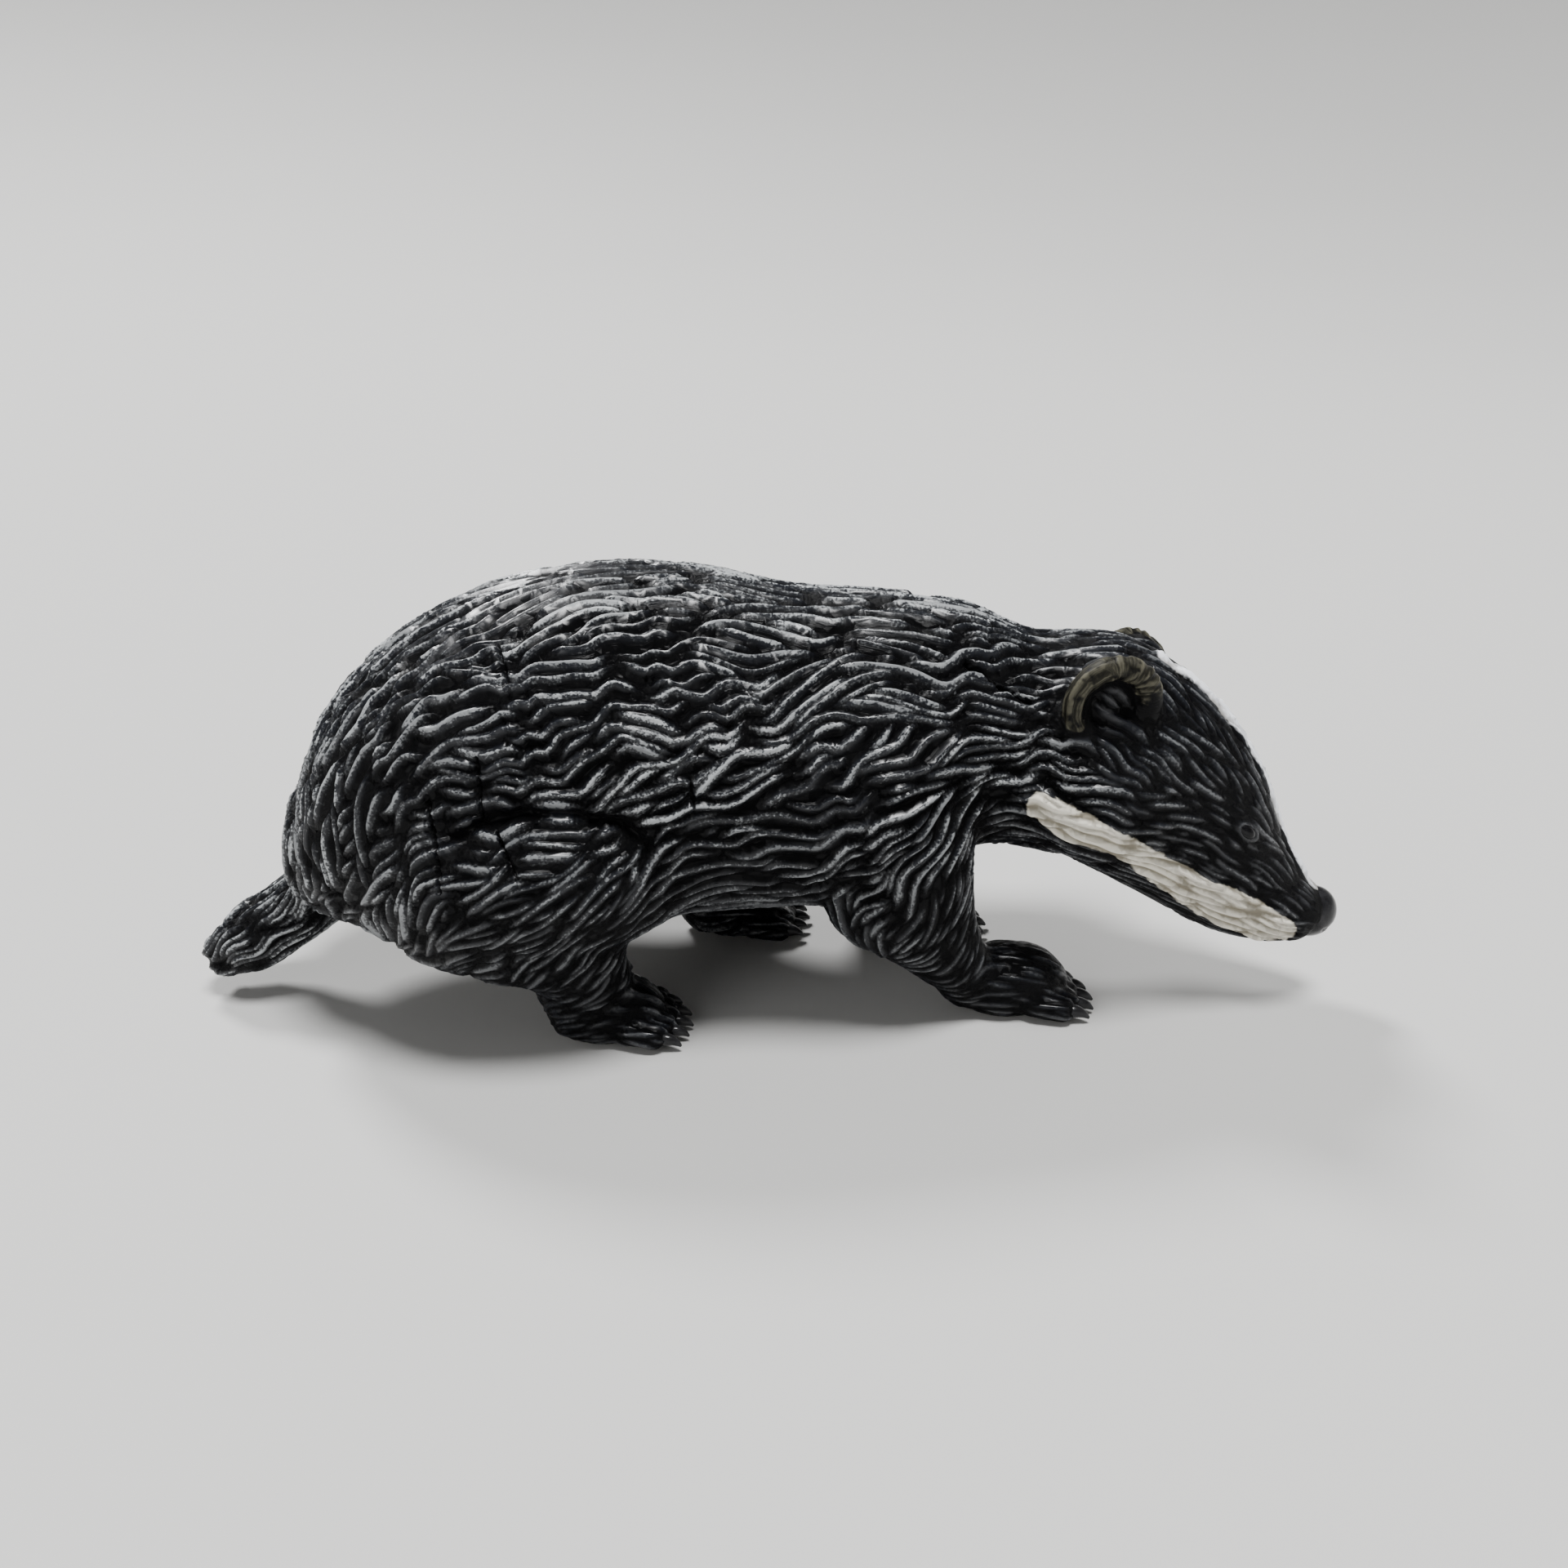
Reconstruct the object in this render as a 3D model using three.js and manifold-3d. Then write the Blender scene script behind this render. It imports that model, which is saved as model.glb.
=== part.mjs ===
// A moulded toy badger about 88 mm long, walking with its head low as if to sniff the ground.
// Millimetres: +X runs from tail to nose, +Y is the animal's left, +Z is up, and the floor is z = 0.
// The origin is on the floor under the middle of the finished figure. While it is being made, the
// middle lies MIDDLE_X behind the drawing's zero.
// The figure is first made whole, then parted with thin cuts where a person would name its parts.
import * as THREE from 'three';
import { mergeVertices } from 'three/addons/utils/BufferGeometryUtils.js';
import Module from 'manifold-3d';

const wasm = await Module();
wasm.setup();

const vec = (x, y, z) => new THREE.Vector3(x, y, z);
const DEG = Math.PI / 180;
const TURN = 2 * Math.PI;
const MIDDLE_X = -1.8;
const GAP = 0.3; // thin cut between neighbouring parts
const PLATE = 1.2; // depth of the white stripes in the head
const STRIPE_RAISE = 0.25; // how far they stand out of it

// Rings of the trunk from rump to muzzle: centre, pitch and yaw of the axis there, half-height
// above and below the centre, and half-width. The head is turned a little to the right.
const TRUNK = [
  { name: 'tail root', at: [-36.1, 0, 12.6], pitch: 0, yaw: 0, up: 4.9, down: 4.6, side: 5.8 },
  { name: 'buttock', at: [-33.6, 0, 14.5], pitch: 0, yaw: 0, up: 9, down: 7, side: 9.2 },
  { name: 'rump', at: [-29, 0, 17], pitch: 0, yaw: 0, up: 11.1, down: 10.8, side: 12 },
  { name: 'hips', at: [-22, 0, 19], pitch: 0, yaw: 0, up: 12.9, down: 13.3, side: 13.3 },
  { name: 'loin', at: [-14, 0, 20], pitch: 0, yaw: 0, up: 13.5, down: 12.6, side: 13.5 },
  { name: 'belly', at: [-6.5, 0, 20], pitch: 0, yaw: 0, up: 13.3, down: 12.4, side: 13 },
  { name: 'ribs', at: [1, 0, 19.9], pitch: 0, yaw: 0, up: 11.8, down: 12, side: 12.2 },
  { name: 'withers', at: [7.4, 0, 20], pitch: -2, yaw: 0, up: 11.2, down: 11.5, side: 11.3 },
  { name: 'neck base', at: [12.6, -0.1, 20.5], pitch: -7, yaw: -2, up: 9.8, down: 9.6, side: 9.7 },
  { name: 'neck', at: [16.5, -0.3, 20.4], pitch: -14, yaw: -5, up: 8.1, down: 8.6, side: 8.6 },
  { name: 'nape', at: [21, -1, 19.2], pitch: -27, yaw: -9, up: 9.8, down: 8, side: 8.3 },
  { name: 'forehead', at: [25.7, -2, 16.6], pitch: -36, yaw: -12, up: 9.4, down: 6.9, side: 7.3 },
  { name: 'eyes', at: [30.6, -3.1, 13], pitch: -38, yaw: -12, up: 7.5, down: 5.9, side: 5.6 },
  { name: 'muzzle', at: [34.8, -4, 9.7], pitch: -38, yaw: -12, up: 4.6, down: 5, side: 4.2 },
  { name: 'lips', at: [37.8, -4.7, 7.4], pitch: -38, yaw: -12, up: 3.1, down: 3.3, side: 3.2 },
  { name: 'muzzle end', at: [39.6, -5.1, 6.6], pitch: -32, yaw: -12, up: 2.4, down: 2.1, side: 2.4 },
];
const RUMP_CAP = 1.4; // rounding of the rump past its last ring
const MUZZLE_CAP = 0.7;
const SQUARENESS = 2.15; // of the ring's outline, where 2 is an ellipse
const NECK_CUT = [10.8, 0, 20.5]; // where neck meets torso, and head meets neck
const NECK_CUT_PITCH = -8;
const HEAD_CUT = [16.8, -0.4, 19.7];
const HEAD_CUT_PITCH = -22;

// Swellings of the trunk's surface: middle, reach along, across and up, pitch, height, and how steep
// the edge is
const BULGES = [
  { name: 'right haunch', at: [-18.9, -10.5, 12], half: [10.2, 6.5, 6.9], pitch: 8, height: 3.3, edge: 2.4 },
  { name: 'left haunch', at: [-14.7, 10.5, 12], half: [10.2, 6.5, 6.9], pitch: 12, height: 3.45, edge: 2.4 },
  { name: 'right shoulder', at: [7.2, -10.5, 15], half: [6.2, 5, 8.6], pitch: 0, height: 1.7, edge: 1.4 },
  { name: 'left shoulder', at: [5.4, 10.5, 15], half: [6.2, 5, 8.6], pitch: 0, height: 1.7, edge: 1.4 },
  { name: 'right cheek', at: [22.6, -8.4, 17.4], half: [5.2, 3.4, 4], pitch: -30, height: 1.3, edge: 1.4 },
  { name: 'left cheek', at: [24.6, 5.4, 17.2], half: [5.2, 3.4, 4], pitch: -30, height: 1.3, edge: 1.4 },
];
const TRUNK_SIDES = 48;
const TRUNK_STACKS = 43;
const TRUNK_CAP_ROWS = 3; // mesh rows in each rounded end

// Limbs: flat rings from the shoulder or hip down, [x, y, z, half-length, half-width]
const LIMBS = {
  fore_leg_right: [[7.5, -7.4, 17, 5.9, 4.8], [7.7, -7.4, 12, 5.9, 4.6], [8.6, -7, 8, 5.5, 4],
    [11.3, -6.4, 5, 4, 3.3], [13.4, -5.9, 2.8, 3.3, 2.9], [14.2, -5.7, 1, 2.4, 2.3]],
  fore_leg_left: [[5.6, 7.4, 17, 5.9, 4.8], [5.4, 7.4, 12, 5.4, 4.6], [5.6, 7.2, 8, 4.5, 3.9],
    [6.8, 6.9, 5, 3.5, 3.3], [7.8, 6.6, 2.8, 3.1, 2.9], [8.3, 6.5, 1, 2.4, 2.3]],
  hind_leg_right: [[-20.5, -9, 13, 8.5, 4.8], [-19.4, -9.1, 9.4, 8, 4.5], [-18.3, -8.9, 6.8, 6.5, 4],
    [-15.4, -8.4, 5, 4.1, 3.4],
    [-15.3, -8.2, 2.8, 3.2, 2.9], [-15, -8.1, 1, 2.4, 2.3]],
  hind_leg_left: [[-13.6, 8.7, 13, 8, 4.6], [-9.4, 8.9, 8.6, 5.4, 4.3], [-6.4, 8.6, 5.2, 3.8, 3.3],
    [-5.5, 8.2, 2.8, 3.2, 2.9], [-5, 8.1, 1, 2.4, 2.3]],
};
const LIMB_SIDES = 24;
const LIMB_STACKS = 12;
const LIMB_CAP_ROWS = 2;
const LIMB_TOP_CAP = 1.5; // rounding inside the body
const LIMB_FOOT_CAP = 0.6; // rounding inside the paw
const LIMB_RIDGE = 0.35; // low moulded ridges down the limb
const LIMB_RIDGE_EVERY = 3; // mesh lines

// Paws: middle of the pad, half-sizes, and how far the toes turn out from straight ahead
const PAWS = {
  fore_paw_right: { at: [16.8, -5.6, 2.6], half: [4.7, 3.2, 3.1], splay: -4 },
  fore_paw_left: { at: [10.6, 6.3, 2.5], half: [4.7, 3.2, 3], splay: 4 },
  hind_paw_right: { at: [-13.7, -7.8, 2.3], half: [4.6, 3.3, 2.8], splay: -5 },
  hind_paw_left: { at: [-3.9, 8, 2.3], half: [4.6, 3.3, 2.8], splay: 5 },
};
const TOES = 5;
const TOE_RADIUS = 1.15;
const TOE_REACH = 3; // from the pad's front third to the toe's tip
const TOE_FAN = 9; // degrees the outer toes point away from the middle one
const TOE_SHORTENING = 0.28; // of the outer toes
const TOE_INSET = 0.95; // of the outer toes from the pad's side
const TOE_HEIGHT = 1.65;
const TOE_FROM = 0.35; // of the pad's half-length ahead of its middle
const TOE_DROOP = 8; // degrees
const CLAW = { length: 2, radius: 0.45, past: 0.1, droop: 14, drop: 0.3 };
const SOLE_SINK = 0.4; // how much of each pad is pressed flat

// Tail rings: centre, half-height and half-width, from inside the rump to the tip
const TAIL = [[-33.4, 10.1, 2.8, 3], [-37.6, 6.9, 2.8, 3.4], [-41.3, 4.4, 2.8, 3.3], [-43.6, 3, 2, 2.2]];
const TAIL_ROOT_CAP = 1;
const TAIL_TIP_CAP = 1.5;
const TAIL_SIDES = 24;
const TAIL_STACKS = 12;
const TAIL_CAP_ROWS = 3;
const TAIL_RIDGE = 0.5; // low moulded ridges along the tail
const TAIL_RIDGE_EVERY = 4; // mesh lines
const TAIL_CUT = [-37, 0, 7.9]; // where the tail leaves the rump
const TAIL_SLOPE = 36;

// Head, in its own axes: along the muzzle, to the left, and up, from the ring at the eyes
const EYE = { along: 1.2, side: 4.2, up: 4, radius: 0.9 };
const NOSE = { along: 11.1, up: 1.3, half: [1.9, 1.9, 2.05] };
const NOSTRIL = { along: 1.75, side: 0.85, up: 0.2, radius: 0.45 };
const CHEEK_STRIPE = [[-12, -2.9, 1.2], [-9.5, -2.6, 1.35], [-7, -2.1, 1.3], [-3.4, -1.8, 1.25],
  [1, -1.95, 1.5], [5.5, -1.4, 1.8], [9, -0.7, 1.4]]; // along, up, half-width
const BLAZE = [[-11, 1.4], [-6, 1.7], [0, 1.5], [5, 1.2], [9, 1]]; // along, half-width
const STRIPE_STEPS = 12;
const STRIPE_TIP = 4; // how far a stripe runs on past its last row, into the nose
const STRIPE_DEPTH = 14; // of the drawing that cuts it, well through the head's side
const STRIPE_INSET = 0.2; // that drawing starts just past the head's middle plane
const STRIPE_HEEL = [115, 150, 180, 210, 245]; // angles round its back end

// Ears: a rolled rim in an arch round a shallow hollow
const EARS = {
  ear_right: { at: [22.4, -8, 25.3], side: -1, turn: 8, lean: 10 },
  ear_left: { at: [26.9, 4.4, 23.1], side: 1, turn: -20, lean: 18 },
};
const EAR_ARCH = [2.8, 2.9]; // half-width and half-height of the rim's middle line
const EAR_RIM_RADIUS = 0.85;
const EAR_BACK = { behind: 1.25, half: [3, 1.7, 3.2] };
const EAR_OPENING = [[-1.4, -6], [6, -6], [6, -0.8], [0.6, -0.8]]; // where the rim is broken off
const EAR_OPENING_DEPTH = 4;

// Catmull-Rom value at t between b and c
function between(a, b, c, d, t) {
  const slope = (c - a) / 2;
  const nextSlope = (d - b) / 2;
  return b + t * (slope + t * (3 * (c - b) - 2 * slope - nextSlope
    + t * (slope + nextSlope - 2 * (c - b))));
}

// A row of numbers at place u along a list of rows, where u runs from 0 to the last row
function rowAt(rows, u) {
  const last = rows.length - 1;
  const i = Math.min(Math.floor(u), last - 1);
  const row = (k) => rows[Math.max(0, Math.min(last, k))];
  return row(i).map((_, n) => between(row(i - 1)[n], row(i)[n], row(i + 1)[n], row(i + 2)[n], u - i));
}

const TRUNK_ROWS = TRUNK.map((r) => [...r.at, r.pitch, r.yaw, r.up, r.down, r.side]);
const RUN = [0]; // distance along the trunk's middle line at each ring
for (let i = 1; i < TRUNK.length; i += 1) {
  RUN.push(RUN[i - 1] + vec(...TRUNK[i].at).distanceTo(vec(...TRUNK[i - 1].at)));
}

// Place among the rings at a share of the way along the trunk
function ringAt(share) {
  const run = share * RUN.at(-1);
  const i = Math.max(1, RUN.findIndex((r) => r >= run - 1e-9));
  return i - 1 + (run - RUN[i - 1]) / (RUN[i] - RUN[i - 1]);
}

// Right-handed axes of a ring: ahead, left, up
function axesOf(pitch, yaw) {
  const turn = new THREE.Euler(0, -pitch * DEG, yaw * DEG, 'ZYX');
  return [vec(1, 0, 0), vec(0, 1, 0), vec(0, 0, 1)].map((v) => v.applyEuler(turn));
}

// How far a swelling lifts a point of the surface
function lift(bulge, point) {
  const p = point.clone().sub(vec(...bulge.at)).applyAxisAngle(vec(0, 1, 0), bulge.pitch * DEG)
    .divide(vec(...bulge.half));
  return bulge.height * Math.exp(-(p.lengthSq() ** bulge.edge));
}

// A closed form made by drawing the points of a sphere to new places
function drawnBall(sides, stacks, place) {
  const ball = new THREE.SphereGeometry(1, sides, stacks);
  const position = ball.getAttribute('position');
  for (let i = 0; i < position.count; i += 1) {
    const row = Math.floor(i / (sides + 1));
    const line = (i % (sides + 1)) % sides;
    const p = place(line, sides, row, stacks);
    position.setXYZ(i, p.x, p.y, p.z);
  }
  return solid(ball);
}

function solid(geometry) {
  const bare = new THREE.BufferGeometry();
  bare.setAttribute('position', geometry.getAttribute('position'));
  bare.setIndex(geometry.getIndex());
  const merged = mergeVertices(bare, 1e-4);
  const made = new wasm.Manifold(new wasm.Mesh({
    numProp: 3,
    vertProperties: new Float32Array(merged.getAttribute('position').array),
    triVerts: new Uint32Array(merged.getIndex().array),
  }));
  if (made.volume() <= 0) throw new Error('a form is inside out');
  return made;
}

// Share of its full girth, and distance past its end ring, of a rounded end
function capAt(row, stacks, startCap, endCap, capRows) {
  const last = stacks - capRows;
  if (row < capRows) {
    const angle = (row / capRows) * 90 * DEG;
    return { u: 0, share: Math.sin(angle), past: -startCap * Math.cos(angle) };
  }
  if (row > last) {
    const angle = ((stacks - row) / capRows) * 90 * DEG;
    return { u: 1, share: Math.sin(angle), past: endCap * Math.cos(angle) };
  }
  return { u: (row - capRows) / (last - capRows), share: 1, past: 0 };
}

// The trunk, drawn outwards by grow, or inwards where that is negative
function trunk({ grow, sides = TRUNK_SIDES, stacks = TRUNK_STACKS }) {
  return drawnBall(sides, stacks, (line, count, row, rows) => {
    const cap = capAt(row, rows, RUMP_CAP + grow, MUZZLE_CAP + grow, TRUNK_CAP_ROWS);
    const [x, y, z, pitch, yaw, up, down, side] = rowAt(TRUNK_ROWS, ringAt(cap.u));
    const [ahead, left, above] = axesOf(pitch, yaw);
    const centre = vec(x, y, z).addScaledVector(ahead, cap.past);
    const angle = TURN * (line / count);
    const rise = Math.cos(angle);
    const across = Math.sin(angle);
    const direction = left.clone().multiplyScalar(across).addScaledVector(above, rise);
    const height = rise > 0 ? up : down;
    let reach = (Math.abs(rise / height) ** SQUARENESS
      + Math.abs(across / side) ** SQUARENESS) ** (-1 / SQUARENESS);
    const skin = centre.clone().addScaledVector(direction, reach);
    for (const bulge of BULGES) reach += lift(bulge, skin);
    return centre.addScaledVector(direction, (reach + grow) * cap.share);
  });
}

// A limb of flat rings
function limb(rings) {
  return drawnBall(LIMB_SIDES, LIMB_STACKS, (line, count, row, rows) => {
    const cap = capAt(row, rows, LIMB_TOP_CAP, LIMB_FOOT_CAP, LIMB_CAP_ROWS);
    const [x, y, z, length, width] = rowAt(rings, cap.u * (rings.length - 1));
    const angle = TURN * (line / count);
    const ridge = line % LIMB_RIDGE_EVERY === 0 ? LIMB_RIDGE : 0;
    return vec(
      x + (length + ridge) * cap.share * Math.cos(angle),
      y + (width + ridge) * cap.share * Math.sin(angle),
      z - cap.past,
    );
  });
}

function ellipsoid(at, half, sides = 16, stacks = 10, turn = null) {
  const shape = new THREE.SphereGeometry(1, sides, stacks);
  shape.scale(...half);
  if (turn) shape.applyMatrix4(new THREE.Matrix4().makeRotationFromEuler(turn));
  shape.translate(...at);
  return solid(shape);
}

function box(low, high) {
  const size = high.map((v, i) => v - low[i]);
  const shape = new THREE.BoxGeometry(...size);
  shape.translate(...low.map((v, i) => v + size[i] / 2));
  return solid(shape);
}

const union = (pieces) => pieces.reduce((a, b) => a.add(b));

// A toe and its claw, pointing ahead from the pad
function toe(reach) {
  const pad = new THREE.CapsuleGeometry(TOE_RADIUS, reach, 2, 7);
  pad.rotateZ(-90 * DEG);
  pad.translate(reach / 2, 0, 0);
  const claw = new THREE.ConeGeometry(CLAW.radius, CLAW.length, 5);
  claw.rotateZ(-90 * DEG);
  claw.rotateY(CLAW.droop * DEG);
  claw.translate(reach + TOE_RADIUS + CLAW.past, 0, -CLAW.drop);
  return [pad, claw];
}

// A paw: the pad, and five toes side by side
function paw({ at, half, splay }) {
  const pieces = [ellipsoid(at, half, 14, 8)];
  const middle = (TOES - 1) / 2;
  for (let i = 0; i < TOES; i += 1) {
    const across = (i - middle) / middle;
    const forms = toe(TOE_REACH * (1 - TOE_SHORTENING * across * across));
    for (const form of forms) {
      form.rotateY(TOE_DROOP * DEG);
      form.rotateZ((splay + across * TOE_FAN) * DEG);
      form.translate(at[0] + half[0] * TOE_FROM, at[1] + across * (half[1] - TOE_INSET), TOE_HEIGHT);
      pieces.push(solid(form));
    }
  }
  return union(pieces);
}

function tail() {
  const along = vec(-Math.cos(TAIL_SLOPE * DEG), 0, -Math.sin(TAIL_SLOPE * DEG));
  const above = vec(along.z, 0, -along.x);
  return drawnBall(TAIL_SIDES, TAIL_STACKS, (line, count, row, rows) => {
    const cap = capAt(row, rows, TAIL_ROOT_CAP, TAIL_TIP_CAP, TAIL_CAP_ROWS);
    const [x, z, height, width] = rowAt(TAIL, cap.u * (TAIL.length - 1));
    const angle = TURN * (line / count);
    const ridge = line % TAIL_RIDGE_EVERY === 0 ? TAIL_RIDGE : 0;
    return vec(x, 0, z).addScaledVector(along, cap.past)
      .addScaledVector(above, (height + ridge) * cap.share * Math.cos(angle))
      .add(vec(0, -(width + ridge) * cap.share * Math.sin(angle), 0));
  });
}

// Places a form made in the head's own axes
const HEAD = TRUNK.find((r) => r.name === 'eyes');
const headTurn = new THREE.Matrix4().makeBasis(...axesOf(HEAD.pitch, HEAD.yaw))
  .setPosition(...HEAD.at);
const inHead = (geometry) => solid(geometry.applyMatrix4(headTurn));

// Outline of a stripe that runs along the muzzle, from its middle line and half-widths
function stripeOutline(rows, grow) {
  const line = Array.from({ length: STRIPE_STEPS + 1 }, (_, i) => (
    rowAt(rows, (i / STRIPE_STEPS) * (rows.length - 1))));
  const upper = line.map(([along, up, half]) => new THREE.Vector2(along, up + half + grow));
  const lower = line.map(([along, up, half]) => new THREE.Vector2(along, up - half - grow));
  const [along, up, half] = line[0];
  const heel = STRIPE_HEEL.map((angle) => new THREE.Vector2(
    along + (half + grow) * Math.cos(angle * DEG),
    up + (half + grow) * Math.sin(angle * DEG),
  ));
  const tip = new THREE.Vector2(line.at(-1)[0] + STRIPE_TIP, line.at(-1)[1]);
  return new THREE.Shape([...heel, ...lower, tip, ...upper.reverse()]);
}

const stripePrism = (rows, grow) => new THREE.ExtrudeGeometry(
  stripeOutline(rows, grow),
  { depth: STRIPE_DEPTH, bevelEnabled: false },
);

function cheekStripePrism(side, grow) {
  const prism = stripePrism(CHEEK_STRIPE, grow);
  prism.rotateX(90 * DEG); // the outline's up is the head's up, and the depth runs to the right
  prism.translate(0, side > 0 ? STRIPE_DEPTH + STRIPE_INSET : -STRIPE_INSET, 0);
  return inHead(prism);
}

const blazePrism = (grow) => inHead(stripePrism(BLAZE.map(([along, half]) => [along, 0, half]), grow));

// An ear: a thick rim in an arch that opens down and forward, on a thin back
function ear({ at, side, turn, lean }) {
  const rim = new THREE.TorusGeometry(1, EAR_RIM_RADIUS / EAR_ARCH[1], 7, 16);
  rim.scale(EAR_ARCH[0], EAR_ARCH[1], EAR_ARCH[1]);
  rim.rotateX(90 * DEG);
  const opening = new THREE.ExtrudeGeometry(
    new THREE.Shape(EAR_OPENING.map((p) => new THREE.Vector2(...p))),
    { depth: EAR_OPENING_DEPTH, bevelEnabled: false },
  );
  opening.translate(0, 0, -EAR_OPENING_DEPTH / 2);
  opening.rotateX(90 * DEG);
  const back = new THREE.SphereGeometry(1, 12, 8);
  back.scale(...EAR_BACK.half);
  back.translate(0, -side * EAR_BACK.behind, 0);
  const pose = new THREE.Matrix4().makeRotationFromEuler(
    new THREE.Euler(-side * lean * DEG, 0, -side * turn * DEG),
  ).setPosition(...at);
  const [rimSolid, openingSolid, backSolid] = [rim, opening, back].map((g) => solid(g.applyMatrix4(pose)));
  return rimSolid.subtract(openingSolid).add(backSolid);
}

// Everything on one side of an upright, tilted plane
function halfSpace(at, pitch, ahead) {
  const reach = 120;
  const shape = new THREE.BoxGeometry(reach, reach, reach);
  shape.translate((ahead ? 1 : -1) * (reach / 2 + GAP / 2), 0, 0);
  shape.rotateY(-pitch * DEG);
  shape.translate(...at);
  return solid(shape);
}

// The outline of a limb seen from the side, an arch over the thigh or shoulder that drops to the
// floor, drawn through to the outside of the body
function limbRegion({ arch, side, inner, grow }) {
  const centre = arch.reduce((s, p) => [s[0] + p[0] / arch.length, s[1] + p[1] / arch.length], [0, 0]);
  const points = arch.map(([x, z]) => {
    const out = new THREE.Vector2(x - centre[0], z - centre[1]);
    return out.setLength(out.length() + grow).add(new THREE.Vector2(...centre));
  });
  const curve = new THREE.SplineCurve(points).getPoints(REGION_STEPS);
  const foot = [points.at(-1), points[0]].map((p) => new THREE.Vector2(p.x, -REGION_SINK));
  const prism = new THREE.ExtrudeGeometry(
    new THREE.Shape([...curve, ...foot]),
    { depth: REGION_DEPTH, bevelEnabled: false },
  );
  prism.rotateX(90 * DEG); // the depth now runs to -Y
  prism.translate(0, side < 0 ? -inner + grow : inner - grow + REGION_DEPTH, 0);
  return solid(prism);
}

// The arches, from behind the limb over its top to the front of the paw, as [x, z]
const REGION_STEPS = 22;
const REGION_SINK = 6; // how far the drawing runs below the floor
const REGION_DEPTH = 30;
const REGIONS = {
  fore_leg_right: { side: -1, inner: 2, arch: [[-1.5, 4], [-0.4, 10], [2.2, 17], [7, 20.5], [11.6, 18],
    [14.2, 13.5], [16, 10.2], [24, 8.6], [27, 4]] },
  fore_leg_left: { side: 1, inner: 2.6, arch: [[3.4, 3], [2.3, 5.4], [-0.6, 8.6], [-1, 12], [1.4, 17.4],
    [6, 20.5], [10.4, 18], [12.8, 13.5], [14.6, 10], [19, 8.2], [21, 4]] },
  hind_leg_right: { side: -1, inner: 3.6, arch: [[-31.6, 4], [-31.2, 10], [-27.5, 17], [-20, 20.4],
    [-12.5, 18.4], [-8.9, 13], [-8.2, 8.6], [-5, 6], [-4.6, 4]] },
  hind_leg_left: { side: 1, inner: 3.6, arch: [[-28.6, 4], [-28, 10], [-23.5, 17], [-15.5, 20.6],
    [-8, 18.8], [-4, 13], [-3, 9], [0.4, 6.2], [3, 4]] },
};
// Where each paw is parted from its leg: a point of the cut and the way the limb runs there
const ANKLES = {
  fore_leg_right: { at: [11.6, 0, 4.4], pitch: -42 },
  fore_leg_left: { at: [6.4, 0, 4.4], pitch: -50 },
  hind_leg_right: { at: [-14, 0, 4.6], pitch: -78 },
  hind_leg_left: { at: [-4.4, 0, 4.6], pitch: -78 },
};

const largest = (piece) => piece.decompose().reduce((a, b) => (b.volume() > a.volume() ? b : a));

const paint = (color, roughness) => new THREE.MeshStandardMaterial({ color, roughness, metalness: 0 });
const COAT = paint(0x17171a, 0.42);
const FACE = paint(0x121214, 0.45);
const WHITE = paint(0xd9d3c2, 0.55);
const EAR_RIM = paint(0x4a4434, 0.55);
const GLOSS = paint(0x060608, 0.18);

const group = new THREE.Group();

function add(name, piece, material) {
  const got = largest(piece).getMesh();
  const geometry = new THREE.BufferGeometry();
  geometry.setAttribute('position', new THREE.BufferAttribute(new Float32Array(got.vertProperties), 3));
  geometry.setIndex(new THREE.BufferAttribute(new Uint32Array(got.triVerts), 1));
  geometry.computeVertexNormals();
  const mesh = new THREE.Mesh(geometry, material);
  mesh.name = name;
  mesh.position.x = -MIDDLE_X;
  group.add(mesh);
}

// The whole figure, less its ears, eyes and nose
const floor = box([-80, -60, -20], [80, 60, 0]);
const sunk = (piece) => piece.translate([0, 0, -SOLE_SINK]).subtract(floor);
let body = trunk({ grow: 0 });
for (const rings of Object.values(LIMBS)) body = body.add(limb(rings));
for (const shape of Object.values(PAWS)) body = body.add(sunk(paw(shape)));
body = body.add(tail()).subtract(floor);

// Head furniture
const noseAt = vec(NOSE.along, 0, NOSE.up).applyMatrix4(headTurn).toArray();
const headEuler = new THREE.Euler().setFromRotationMatrix(headTurn);
const noseBall = (grow) => ellipsoid(noseAt, NOSE.half.map((v) => v + grow), 16, 10, headEuler);
let nose = noseBall(0);
for (const side of [-1, 1]) {
  const { along, up, radius } = NOSTRIL;
  const at = vec(NOSE.along + along, side * NOSTRIL.side, NOSE.up + up).applyMatrix4(headTurn);
  nose = nose.subtract(ellipsoid(at.toArray(), [radius, radius, radius], 8, 6));
}
const eyeAt = (side) => vec(EYE.along, side * EYE.side, EYE.up).applyMatrix4(headTurn).toArray();
const eyeBall = (side, grow) => ellipsoid(eyeAt(side), Array(3).fill(EYE.radius + grow), 10, 8);

const coarse = { sides: 28, stacks: 30 };
const grown = trunk({ ...coarse, grow: GAP });
const core = trunk({ ...coarse, grow: -PLATE });
const raised = trunk({ ...coarse, grow: STRIPE_RAISE });
const deepCore = trunk({ ...coarse, grow: -PLATE - GAP });

const aheadOfNeckCut = halfSpace(NECK_CUT, NECK_CUT_PITCH, true);
const behindNeckCut = halfSpace(NECK_CUT, NECK_CUT_PITCH, false);
const aheadOfHeadCut = halfSpace(HEAD_CUT, HEAD_CUT_PITCH, true);
const behindHeadCut = halfSpace(HEAD_CUT, HEAD_CUT_PITCH, false);
const tailSide = halfSpace(TAIL_CUT, TAIL_SLOPE, false);
const rumpSide = halfSpace(TAIL_CUT, TAIL_SLOPE, true);

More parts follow.
